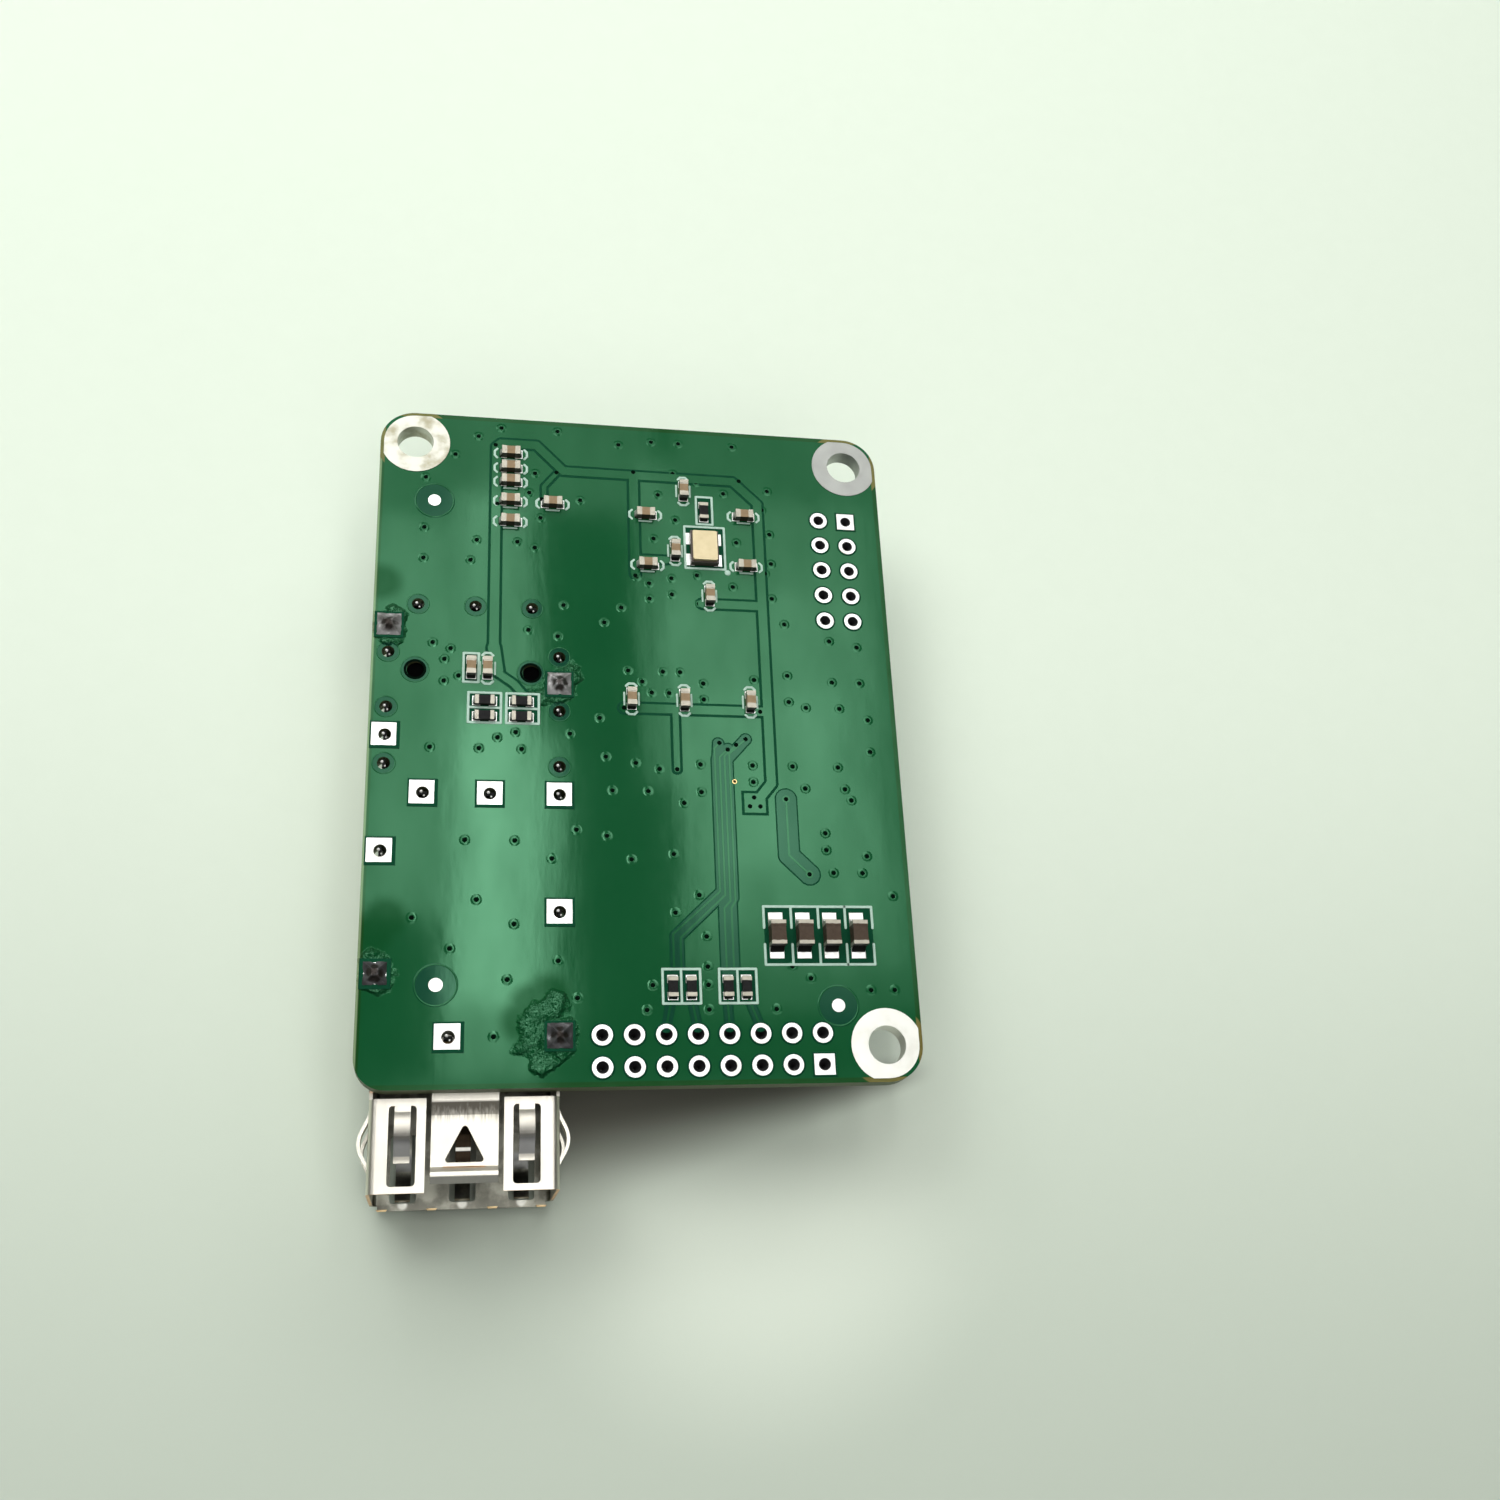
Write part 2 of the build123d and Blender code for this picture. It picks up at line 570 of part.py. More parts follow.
with BuildPart() as connector_housing:
    with Locations((CAGE_X, housing_front, COMPONENT_FACE)):
        Box(housing_width, HOUSING_DEPTH, HOUSING_HEIGHT, align=(Align.CENTER, Align.MIN, Align.MAX))
    with Locations((CAGE_X, housing_front, slot_z)):
        Box(
            CARD_SLOT_WIDTH,
            CARD_SLOT_DEPTH,
            CARD_SLOT_GAP,
            align=(Align.CENTER, Align.MIN, Align.CENTER),
            mode=Mode.SUBTRACT,
        )
    slot_edges = connector_housing.faces().sort_by(Axis.Y)[0].inner_wires()[0].edges()
    chamfer(slot_edges, CARD_SLOT_LEAD)
    with Locations(*[(x, y, COMPONENT_FACE) for x, y in peg_points]):
        Cylinder(PEG_DIA / 2, PEG_LENGTH, align=(Align.CENTER, Align.CENTER, Align.MIN))
    channel = CONTACT_THICK + 2 * CONTACT_CLEARANCE
    contact_row(upper_contact, channel, CONTACT_WIDTH + 2 * CONTACT_CLEARANCE, Mode.SUBTRACT)
    contact_row(lower_contact, channel, CONTACT_WIDTH + 2 * CONTACT_CLEARANCE, Mode.SUBTRACT)
save(connector_housing, "connector_housing")

with BuildPart() as connector_contacts_upper:
    contact_row(upper_contact, CONTACT_THICK, CONTACT_WIDTH, Mode.ADD)
save(connector_contacts_upper, "connector_contacts_upper")

with BuildPart() as connector_contacts_lower:
    contact_row(lower_contact, CONTACT_THICK, CONTACT_WIDTH, Mode.ADD)
save(connector_contacts_lower, "connector_contacts_lower")

# %% Oscillator
with BuildPart() as oscillator_base:
    with Locations((OSCILLATOR_X, OSCILLATOR_Y, SOLDER_FACE)):
        Box(
            OSCILLATOR_WIDTH,
            OSCILLATOR_LENGTH,
            OSCILLATOR_BASE_HEIGHT,
            align=(Align.CENTER, Align.CENTER, Align.MIN),
        )
save(oscillator_base, "oscillator_base")

with BuildPart() as oscillator_lid:
    with Locations((OSCILLATOR_X, OSCILLATOR_Y, SOLDER_FACE + OSCILLATOR_BASE_HEIGHT)):
        Box(
            OSCILLATOR_WIDTH - 2 * OSCILLATOR_LID_MARGIN,
            OSCILLATOR_LENGTH - 2 * OSCILLATOR_LID_MARGIN,
            OSCILLATOR_LID_HEIGHT,
            align=(Align.CENTER, Align.CENTER, Align.MIN),
        )
    fillet(oscillator_lid.edges().filter_by(Axis.Z), OSCILLATOR_LID_MARGIN)
save(oscillator_lid, "oscillator_lid")


# %% Chip capacitors and resistors
def chip(label, x, y, size, terminal, turned):
    """One chip part: a body between two end terminals that stand slightly proud of it."""
    length, width, height = size
    seat = Plane(origin=(x, y, SOLDER_FACE), x_dir=(0, 1, 0) if turned else (1, 0, 0))
    with BuildPart() as piece:
        with BuildSketch(seat):
            Rectangle(length - 2 * terminal, width - 2 * TERMINAL_PROUD)
        extrude(amount=height - TERMINAL_PROUD)
        with BuildSketch(seat):
            with Locations((-(length - terminal) / 2, 0), ((length - terminal) / 2, 0)):
                Rectangle(terminal, width)
        extrude(amount=height)
    save(piece, label)


# Column of decoupling capacitors near the rear left, and one beside it
column_x = LEFT + CAP_COLUMN_FROM_LEFT
level_places = [(column_x, REAR - d) for d in CAP_COLUMN_FROM_REAR]
level_places.append((column_x + COLUMN_SIDE_CAP_OFFSET, REAR - COLUMN_SIDE_CAP_FROM_REAR))
level_places += [(OSCILLATOR_X + dx, OSCILLATOR_Y + dy) for dx, dy in LEVEL_CAPS_ROUND_OSCILLATOR]
# Those turned across, round the oscillator, in a row of three, and between the connector's pegs
turned_places = [(OSCILLATOR_X + dx, OSCILLATOR_Y + dy) for dx, dy in TURNED_CAPS_ROUND_OSCILLATOR]
turned_places += [(OSCILLATOR_X + dx, OSCILLATOR_Y - CAP_ROW_TO_OSCILLATOR) for dx in CAP_ROW_OFFSETS]
turned_places += [(CAGE_X + dx, PEG_Y + dy) for dx, dy in CAPS_BETWEEN_PEGS]
capacitor_places = [(x, y, False) for x, y in level_places] + [(x, y, True) for x, y in turned_places]
for number, (x, y, turned) in enumerate(capacitor_places, 1):
    chip(f"capacitor_{number:02d}", x, y, SMALL_CAP, CHIP_TERMINAL, turned)

for number in range(BULK_CAP_COUNT):
    x = RIGHT - BULK_CAPS_FROM_RIGHT - BULK_CAP_PITCH * (BULK_CAP_COUNT - 1 - number)
    chip(f"bulk_capacitor_{number + 1}", x, FRONT + BULK_CAPS_FROM_FRONT, BULK_CAP, BULK_TERMINAL, True)

dx, dy = RESISTOR_BY_OSCILLATOR
resistor_places = [(OSCILLATOR_X + dx, OSCILLATOR_Y + dy, True)]
resistor_places += [(CAGE_X + dx, PEG_Y + dy, False) for dx, dy in RESISTORS_BY_PEGS]
front_resistor_y = FRONT + FRONT_RESISTORS_FROM_FRONT
resistor_places += [(RIGHT - d, front_resistor_y, True) for d in FRONT_RESISTORS_FROM_RIGHT]
for number, (x, y, turned) in enumerate(resistor_places, 1):
    chip(f"resistor_{number}", x, y, RESISTOR, CHIP_TERMINAL, turned)

# %% Component side: main chip and regulator
main_chip_x = RIGHT - MAIN_CHIP_FROM_RIGHT
main_chip_y = REAR - MAIN_CHIP_FROM_REAR
with BuildPart() as transceiver_chip:
    with Locations((main_chip_x, main_chip_y, COMPONENT_FACE)):
        Box(MAIN_CHIP_SIDE, MAIN_CHIP_SIDE, MAIN_CHIP_HEIGHT, align=(Align.CENTER, Align.CENTER, Align.MAX))
    dot = MAIN_CHIP_SIDE / 2 - MAIN_CHIP_DOT_DIA
    with Locations((main_chip_x - dot, main_chip_y + dot, COMPONENT_FACE - MAIN_CHIP_HEIGHT)):
        Cylinder(MAIN_CHIP_DOT_DIA / 2, 2 * MAIN_CHIP_DOT_DEPTH, mode=Mode.SUBTRACT)
save(transceiver_chip, "transceiver_chip")

with BuildPart() as voltage_regulator:
    regulator_x = RIGHT - REGULATOR_FROM_RIGHT
    regulator_y = FRONT + REGULATOR_FROM_FRONT
    body_width, body_depth, body_height = REGULATOR_BODY
    lead_width, lead_reach, lead_thick = REGULATOR_LEAD
    lead_y = body_depth / 2 + lead_reach / 2
    with Locations((regulator_x, regulator_y, COMPONENT_FACE)):
        Box(body_width, body_depth, body_height, align=(Align.CENTER, Align.CENTER, Align.MAX))
    lead_xs = [regulator_x + k * REGULATOR_LEAD_PITCH for k in (-1, 0, 1)]
    with Locations(*[(x, regulator_y - lead_y, COMPONENT_FACE) for x in lead_xs]):
        Box(lead_width, lead_reach, lead_thick, align=(Align.CENTER, Align.CENTER, Align.MAX))
    with Locations((regulator_x, regulator_y + lead_y, COMPONENT_FACE)):
        Box(REGULATOR_TAB_WIDTH, lead_reach, lead_thick, align=(Align.CENTER, Align.CENTER, Align.MAX))
save(voltage_regulator, "voltage_regulator")
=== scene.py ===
# %% [markdown]
# # Host board for a plug-in optical transceiver
#
# A small green circuit board lies solder side up. A folded sheet metal cage hangs under it, and the cage's
# mouth stands out past the board's front edge. The solids come from the CAD model and stay where they are.
# Here they get their finishes, and the thin things a board carries are added: tracks under the green mask,
# vias, white print, solder and plated holes.

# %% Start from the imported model
import itertools
import json
import math

import bmesh
import bpy
from mathutils import Matrix, Vector

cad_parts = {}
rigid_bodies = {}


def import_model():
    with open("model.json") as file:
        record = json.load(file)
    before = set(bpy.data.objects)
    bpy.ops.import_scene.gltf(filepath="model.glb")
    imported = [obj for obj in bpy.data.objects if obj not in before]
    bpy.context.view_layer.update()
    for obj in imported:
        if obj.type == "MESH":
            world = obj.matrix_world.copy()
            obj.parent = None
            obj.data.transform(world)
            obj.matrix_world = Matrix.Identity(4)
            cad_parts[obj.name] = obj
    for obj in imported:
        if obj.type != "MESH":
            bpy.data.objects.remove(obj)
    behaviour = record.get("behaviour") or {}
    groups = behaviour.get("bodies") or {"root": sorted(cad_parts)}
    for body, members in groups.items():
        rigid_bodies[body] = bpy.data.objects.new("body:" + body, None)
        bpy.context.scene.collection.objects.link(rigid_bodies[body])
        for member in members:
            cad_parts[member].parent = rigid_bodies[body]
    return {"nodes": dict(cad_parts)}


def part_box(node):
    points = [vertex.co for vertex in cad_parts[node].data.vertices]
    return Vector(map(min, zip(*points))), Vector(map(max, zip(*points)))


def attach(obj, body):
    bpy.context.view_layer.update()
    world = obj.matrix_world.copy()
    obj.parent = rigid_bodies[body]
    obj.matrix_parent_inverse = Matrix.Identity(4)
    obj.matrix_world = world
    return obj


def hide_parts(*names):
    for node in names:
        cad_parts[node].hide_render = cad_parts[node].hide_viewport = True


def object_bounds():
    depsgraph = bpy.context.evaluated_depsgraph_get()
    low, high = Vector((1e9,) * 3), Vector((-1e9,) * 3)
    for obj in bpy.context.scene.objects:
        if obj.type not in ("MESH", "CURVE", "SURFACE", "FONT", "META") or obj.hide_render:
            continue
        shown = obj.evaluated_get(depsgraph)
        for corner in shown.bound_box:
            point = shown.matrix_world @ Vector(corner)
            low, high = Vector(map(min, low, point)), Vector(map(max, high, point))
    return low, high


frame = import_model()
cad_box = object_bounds()
MM = 0.001
board_low, board_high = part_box("circuit_board")
cage_low, cage_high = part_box("cage_shell")
print("board", [round(v / MM, 2) for v in board_high - board_low], "mm")
print("cage", [round(v / MM, 2) for v in cage_high - cage_low], "mm")

# %% [markdown]
# ## Camera
#
# The view is from the front and above, close up with a short lens, so the board's far edge looks clearly
# smaller than its near one. The camera's three axes are given outright, because a board seen from so close
# shows the least change of angle.

# %% Camera
CAMERA_PLACE = Vector((-35.25, -23.94, 124.12)) * MM
LOOKING = Vector((0.19622, 0.36262, -0.91105)).normalized()
UPWARDS = Vector((-0.02427, 0.93062, 0.36518)).normalized()
RIGHTWARDS = LOOKING.cross(UPWARDS).normalized()

bpy.ops.object.camera_add()
camera = bpy.context.object
camera.matrix_world = Matrix.Translation(CAMERA_PLACE) @ Matrix(
    (RIGHTWARDS, RIGHTWARDS.cross(LOOKING), -LOOKING)
).transposed().to_4x4()
camera.data.lens = 38.08
camera.data.sensor_width = 36
camera.data.shift_x = -0.0125
camera.data.clip_start = 0.005
bpy.context.scene.camera = camera
print("camera", round(CAMERA_PLACE.z / MM), "mm above the board")

# %% [markdown]
# ## Tools for materials
#
# Every finish starts as a Principled shader with its plain values on the shader's own sockets. What varies
# over the surface, such as mottling or scratches, comes from nodes that read the object's coordinates in
# metres, so a pattern's scale is in repeats per metre.

# %% Helpers for node trees
def plug(made, target, value):
    """Gives a socket its own value, or a link when the value is another node's output."""
    if isinstance(value, bpy.types.NodeSocket):
        made.node_tree.links.new(value, target)
    else:
        target.default_value = value


def feed(made, socket, value):
    """Plugs a value into one of the Principled shader's sockets."""
    plug(made, made.node_tree.nodes["Principled BSDF"].inputs[socket], value)


def new_finish(name, colour, roughness, metallic=0.0):
    """A material with a Principled shader."""
    made = bpy.data.materials.new(name)
    made.use_nodes = True
    feed(made, "Base Color", (*colour, 1))
    feed(made, "Roughness", roughness)
    feed(made, "Metallic", metallic)
    return made


def add(made, kind, inputs, **choices):
    """Adds a node and plugs in its inputs, which go by name or number."""
    node = made.node_tree.nodes.new("ShaderNode" + kind)
    for key, value in choices.items():
        setattr(node, key, value)
    for key, value in inputs.items():
        plug(made, node.inputs[key], value)
    return node


def sums(made, operation, first, second=0.0, third=0.0):
    """One step of arithmetic."""
    return add(made, "Math", {0: first, 1: second, 2: third}, operation=operation).outputs[0]


def product(made, *shares):
    """Several shares multiplied together."""
    result = shares[0]
    for share in shares[1:]:
        result = sums(made, "MULTIPLY", result, share)
    return result


def mix(made, share, first, second):
    """A colour between two colours."""
    first, second = [(*c, 1) if isinstance(c, tuple) else c for c in (first, second)]
    return add(made, "Mix", {0: share, 6: first, 7: second}, data_type="RGBA").outputs[2]


def paint(made, share, first, second):
    """Gives the shader a colour between two colours."""
    feed(made, "Base Color", mix(made, share, first, second))


def roughen(made, pattern, swing, least):
    """Roughness that rises with a pattern from its least value."""
    feed(made, "Roughness", sums(made, "MULTIPLY_ADD", pattern, swing, least))


def step(made, value, low, high):
    """0 below the low value and 1 above the high one, smooth between; low may be the greater."""
    inputs = {"Value": value, "From Min": low, "From Max": high}
    return add(made, "MapRange", inputs, interpolation_type="SMOOTHSTEP").outputs[0]


def off(made, value, middle):
    """How far a value lies to either side of a middle one."""
    return sums(made, "ABSOLUTE", sums(made, "SUBTRACT", value, middle))


def places(made, output="Object"):
    """The texture coordinates of one kind."""
    return add(made, "TexCoord", {}).outputs[output]


def axes(made, output="Object"):
    """The three parts of one kind of texture coordinates."""
    return add(made, "SeparateXYZ", {0: places(made, output)}).outputs[0:3]


def noise(made, scale, detail=3.0, stretch=(1, 1, 1), roughness=0.5):
    """Noise in the object's coordinates, stretched along the axes whose stretch is small."""
    mapped = add(made, "Mapping", {"Vector": places(made), "Scale": stretch})
    inputs = {"Vector": mapped.outputs[0], "Scale": scale, "Detail": detail, "Roughness": roughness}
    return add(made, "TexNoise", inputs).outputs[0]


def dent(made, height, depth_mm, under=None):
    """Bump from a height, as deep as the given millimetres."""
    inputs = {"Height": height, "Distance": depth_mm * MM, "Strength": 1.0}
    if under is not None:
        inputs["Normal"] = under
    return add(made, "Bump", inputs).outputs[0]


def colour_of(made):
    """The output that feeds a finish's colour."""
    return made.node_tree.nodes["Principled BSDF"].inputs["Base Color"].links[0].from_socket


def nearest(made, centres):
    """Distance in metres to the nearest of some centres in millimetres, at height 0 where none is given."""
    result = None
    for centre in centres:
        spot = tuple(size * MM for size in (*centre, 0)[:3])
        away = add(made, "VectorMath", {0: places(made), 1: spot}, operation="DISTANCE").outputs["Value"]
        result = away if result is None else sums(made, "MINIMUM", result, away)
    return result


# %% [markdown]
# ## Solder mask
#
# The board's green is a glossy lacquer over copper. It isn't quite even: the lacquer follows the glass cloth
# and the copper, so a long lamp's reflection has soft, slightly ragged edges. At the rim there is no copper,
# and the green turns darker. The cut sides of the board show the laminate itself, olive brown with thin
# layers of glass. Round the mounting holes the mask stops short of the corner and leaves laminate bare.

# %% The board's own sizes, from the solids
LEFT, FRONT = board_low.x / MM, board_low.y / MM
RIGHT, REAR = board_high.x / MM, board_high.y / MM
HOLE_INSET = 3
REAR_RIGHT_HOLE = (0, REAR - HOLE_INSET)
MOUNT_HOLES = ((0, 0), REAR_RIGHT_HOLE, (LEFT + HOLE_INSET, REAR - HOLE_INSET))
LEFT_PINS, RIGHT_PINS = -40.63, -26.38
CAGE_MIDDLE = -33.5
TOP_FINGERS = (-38.2, -28.8)
SOLDERED_PINS = ((-40.6, 6), (-40.6, 36), (-26.4, 1), (-26.4, 31))
CRUMBLED_FLUX = (
    (-28.4, 1.5), (-28.0, 2.7), (-27.0, 3.3), (-28.9, 0.2), (-27.9, -1.0), (-25.5, 32.0), (-27.4, 30.0),
)
FLUX_FILMS = ((-40.9, 9.2), (-40.0, 10.4), (-41.4, 40.0), (-29.4, 2.2), (-28.6, 3.6), (-27.2, 4.3))


def lacquer(name, dark, light, has_rim, shine=1.0):
    """Green mask: a mottled colour, a wavy gloss, and flux stains round the soldered pins."""
    made = new_finish(name, light, 0.08)
    feed(made, "Specular Tint", (0.37, 0.92, 0.55, 1))
    cloudy = noise(made, 160, 4)
    colour = mix(made, cloudy, dark, light)
    # Flux: a dark crumbled crust close round each soldered pin, and smooth films that ran further
    ragged = product(made, sums(made, "SUBTRACT", noise(made, 600, 4), 0.5), 3.0 * MM)
    flux = None
    for spots, reach in ((SOLDERED_PINS, 1.7), (CRUMBLED_FLUX, 1.3)):
        flux_place = sums(made, "ADD", nearest(made, spots), ragged)
        crust = step(made, flux_place, reach * MM, (reach - 0.6) * MM)
        flux = crust if flux is None else sums(made, "MAXIMUM", flux, crust)
    film = step(made, nearest(made, FLUX_FILMS), 2.3 * MM, 0.9 * MM)
    film = product(made, film, sums(made, "SUBTRACT", 1.0, flux))
    colour = mix(made, product(made, film, 0.6), colour, (0.004, 0.062, 0.014))
    colour = mix(made, product(made, flux, 0.4), colour, (0.002, 0.032, 0.01))
    streaks = sums(made, "MULTIPLY_ADD", noise(made, 260, 4, (1, 0.35, 1)), 0.5 * shine, 0.25 * shine)
    feed(made, "Specular IOR Level", sums(made, "MULTIPLY_ADD", film, -0.35 * shine, streaks))
    if has_rim:
        # The rim without copper, and a painted highlight: a pale line along the left edge
        x, y, _ = axes(made)
        past_edges = [
            sums(made, "SUBTRACT", off(made, value, (low + high) / 2 * MM), (high - low) / 2 * MM)
            for value, low, high in ((x, LEFT, RIGHT), (y, FRONT, REAR))
        ]
        rim = step(made, sums(made, "MAXIMUM", *past_edges), -0.45 * MM, -0.35 * MM)
        colour = mix(made, rim, colour, (0.01, 0.06, 0.012))
        left_edge_highlight = step(made, x, (LEFT + 0.25) * MM, (LEFT + 0.12) * MM)
        colour = mix(made, left_edge_highlight, colour, (0.22, 0.3, 0.16))
        # Bare laminate at the mounting corners, and on every cut side
        laminate = mix(made, noise(made, 900, 3, (1, 1, 4)), (0.1, 0.085, 0.02), (0.23, 0.19, 0.06))
        corners = step(made, nearest(made, MOUNT_HOLES), 3.5 * MM, 3.4 * MM)
        colour = mix(made, product(made, corners, rim), colour, laminate)
        side = step(made, sums(made, "ABSOLUTE", axes(made, "Normal")[2]), 0.6, 0.4)
        layers = noise(made, 1500, 2, (0.05, 0.05, 3))
        cut_side = mix(made, layers, (0.035, 0.04, 0.015), (0.12, 0.115, 0.05))
        colour = mix(made, side, colour, cut_side)
        gloss = sums(made, "MULTIPLY_ADD", side, 0.45, 0.065)
        gloss = sums(made, "MULTIPLY_ADD", noise(made, 1100, 2), 0.03, gloss)
        feed(made, "Roughness", gloss)
    feed(made, "Base Color", colour)
    wavy = dent(made, noise(made, 130, 2, (1, 0.6, 1)), 0.02)
    ragged_edge = dent(made, noise(made, 420, 4, (1, 0.4, 1)), 0.006, wavy)
    cloth = dent(made, noise(made, 1400, 2, (1, 0.12, 1)), 0.0012, ragged_edge)
    feed(made, "Normal", dent(made, product(made, noise(made, 850, 3), flux), 0.6, cloth))
    return made


COPPER_GREENS = (0.005, 0.072, 0.022), (0.008, 0.09, 0.029)
mask_finish = lacquer("solder_mask", *COPPER_GREENS, True)
track_finish = lacquer("mask_over_track", *COPPER_GREENS, False)
gap_finish = lacquer("mask_over_laminate", (0.005, 0.05, 0.026), (0.007, 0.062, 0.033), False, 0.75)
groove_finish = new_finish("mask_in_groove", (0.003, 0.034, 0.014), 0.4)
feed(groove_finish, "Specular IOR Level", 0.1)
feed(groove_finish, "Specular Tint", (0.2, 0.9, 0.5, 1))
uneven = noise(groove_finish, 500, 3)
paint(groove_finish, uneven, (0.003, 0.04, 0.018), (0.005, 0.062, 0.027))
print("solder mask: pour, tracks, gaps and grooves")

# %% [markdown]
# ## Metals
#
# The pads, rings and fiducial dots are levelled in hot air: bright, soft tin with a slightly uneven skin.
# The cage is stamped from nickel plated sheet, so its faces are bright with fine drawing lines along the
# strip, while the edges cut after plating show the warm copper alloy underneath. An edge is told apart by
# its normal, which points out of the mouth. Where painted shade darkens the sheet and painted highlights
# lighten it is told apart by its place on the cage.

# %% Tin, solder, nickel and gold
def tin(name, bright, dull, roughness, depth_mm, metallic):
    made = new_finish(name, bright, roughness, metallic)
    mottled = step(made, noise(made, 700, 4), 0.42, 0.72)
    paint(made, mottled, bright, dull)
    roughen(made, mottled, 0.15, roughness)
    feed(made, "Normal", dent(made, noise(made, 520, 3), depth_mm))
    return made


tin_finish = tin("tinned_pad", (0.95, 0.95, 0.93), (0.8, 0.79, 0.72), 0.3, 0.02, 0.75)
ring_finish = tin("tinned_ring", (0.56, 0.56, 0.49), (0.36, 0.34, 0.24), 0.42, 0.03, 0.8)


def on_ring(made, spot):
    """1 on the ring round one mounting hole, and 0 further off."""
    return step(made, nearest(made, (spot,)), 5.5 * MM, 4.5 * MM)


# The rear right ring is painted a mottled grey, and the front right one is painted brighter, a painted
# reflection
rear_ring_grey = mix(ring_finish, noise(ring_finish, 400, 4), (0.27, 0.28, 0.26), (0.44, 0.45, 0.42))
on_rear_ring = on_ring(ring_finish, REAR_RIGHT_HOLE)
ring_colour = mix(ring_finish, on_rear_ring, colour_of(ring_finish), rear_ring_grey)
front_ring_reflection = product(ring_finish, on_ring(ring_finish, (0, 0)), 0.8)
paint(ring_finish, front_ring_reflection, ring_colour, (0.93, 0.93, 0.86))

# The solder is dark over the pin's end, and the two front joints are painted darker, a painted reflection of
# the dark in front
solder_finish = tin("solder", (0.36, 0.355, 0.35), (0.13, 0.12, 0.11), 0.42, 0.06, 0.7)
mounds = [(LEFT_PINS if x < CAGE_MIDDLE else RIGHT_PINS, y) for x, y in SOLDERED_PINS]
uneven = noise(solder_finish, 1800, 3)
from_pin = sums(solder_finish, "MULTIPLY_ADD", uneven, 0.5 * MM, nearest(solder_finish, mounds))
core = product(solder_finish, step(solder_finish, from_pin, 1.02 * MM, 0.84 * MM), 0.9)
front_joint_shade = product(solder_finish, step(solder_finish, axes(solder_finish)[1], 14 * MM, 13 * MM), 0.8)
solder_colour = mix(solder_finish, front_joint_shade, colour_of(solder_finish), (0.035, 0.036, 0.04))
paint(solder_finish, core, solder_colour, (0.02, 0.014, 0.01))
# The bright beads on the pin ends are painted glints
glint_bead_finish = tin("pin_glint_bead", (0.9, 0.9, 0.86), (0.75, 0.74, 0.7), 0.35, 0.01, 0.1)
# The tubes in the header holes are painted near black, as painted shade deep in the holes
barrel_shade_finish = tin("plated_hole_shade", (0.018, 0.018, 0.018), (0.006, 0.006, 0.006), 0.6, 0.01, 0.0)

WINDOW_ENDS = [(x, -10.35, -10.3) for x in (TOP_FINGERS[0], CAGE_MIDDLE, TOP_FINGERS[1])]


def cage_nickel():
    """Nickel plated sheet: drawn lines, copper at the cut edges, and painted shade and highlights by place.
    """
    made = new_finish("cage_nickel", (0.8, 0.78, 0.72), 0.22, 1.0)
    across, along, height = axes(made)
    drawn = noise(made, 5000, 3, (1, 0.04, 1))
    patches = noise(made, 350, 3)

    def within(*limits):
        """1 where each value, in millimetres, has passed from its first limit to its second."""
        return product(made, *[step(made, value, start * MM, end * MM) for value, start, end in limits])

    colour = mix(made, patches, (0.84, 0.81, 0.73), (0.62, 0.58, 0.48))
    cut_edge = step(made, axes(made, "Normal")[1], -0.75, -0.95)
    colour = mix(made, cut_edge, colour, (0.8, 0.47, 0.24))

    worn = step(made, noise(made, 700, 4), 0.4, 0.65)
    far_sheet_shade = mix(made, worn, (0.12, 0.12, 0.095), (0.34, 0.34, 0.28))
    window_end_highlight = within((nearest(made, WINDOW_ENDS), 0.5, 0.25))
    far_sheet_shade = mix(made, window_end_highlight, far_sheet_shade, (0.62, 0.62, 0.56))
    crease_highlight = within((along, -6.22, -6.14), (along, -5.88, -5.96))
    far_finger_shade = mix(made, crease_highlight, (0.04, 0.028, 0.018), (0.9, 0.88, 0.8))

    from_middle = off(made, across, CAGE_MIDDLE * MM)
    from_finger = off(made, from_middle, (TOP_FINGERS[1] - TOP_FINGERS[0]) / 2 * MM)
    frayed = sums(made, "MULTIPLY_ADD", drawn, 1.6 * MM, sums(made, "SUBTRACT", along, 0.8 * MM))
    on_tongue = (from_middle, 2.65, 2.6)
    for shade, share, *limits in (
        # The far sheet lies low against the floor and is painted dark, as painted shade, with a painted
        # highlight at each window's end
        (far_sheet_shade, 0.9, (height, -8.5, -10.5)),
        # The tongue is painted dark where it was bent down, as painted shade, fading towards its latch hole
        ((0.09, 0.08, 0.06), 0.9, (frayed, -5.3, -3.9), (along, -3.6, -3.7), on_tongue, (height, -4, -3)),
        # Its lip turns down at its end and is painted darker there, as painted shade
        ((0.22, 0.22, 0.19), 1, (along, -9.2, -9.3), on_tongue, (height, -4, -3.5)),
        # Each spring finger is painted darker too where it slopes back in, as painted shade
        ((0.24, 0.24, 0.23), 1, (along, -6.2, -6.6), (along, -7.75, -7.6), (from_finger, 0.68, 0.63)),
        # The far finger under the latch hole is painted dark, as painted shade, but for a painted highlight
        # across its crease
        (far_finger_shade, 1, (from_middle, 0.66, 0.62), (height, -8.5, -9), (along, -7.9, -7.6)),
        # The pin tips in their holes are painted black, as painted shade
        ((0.008, 0.008, 0.008), 1, (height, -1.4, -0.6)),
    ):
        colour = mix(made, product(made, within(*limits), share), colour, shade)
    feed(made, "Base Color", colour)
    roughen(made, drawn, 0.25, 0.24)
    feed(made, "Normal", dent(made, drawn, 0.0015, dent(made, patches, 0.02)))
    return made


nickel_finish = cage_nickel()
gold_finish = new_finish("contact_gold", (0.85, 0.6, 0.25), 0.3, 1.0)
roughen(gold_finish, noise(gold_finish, 3000), 0.2, 0.2)

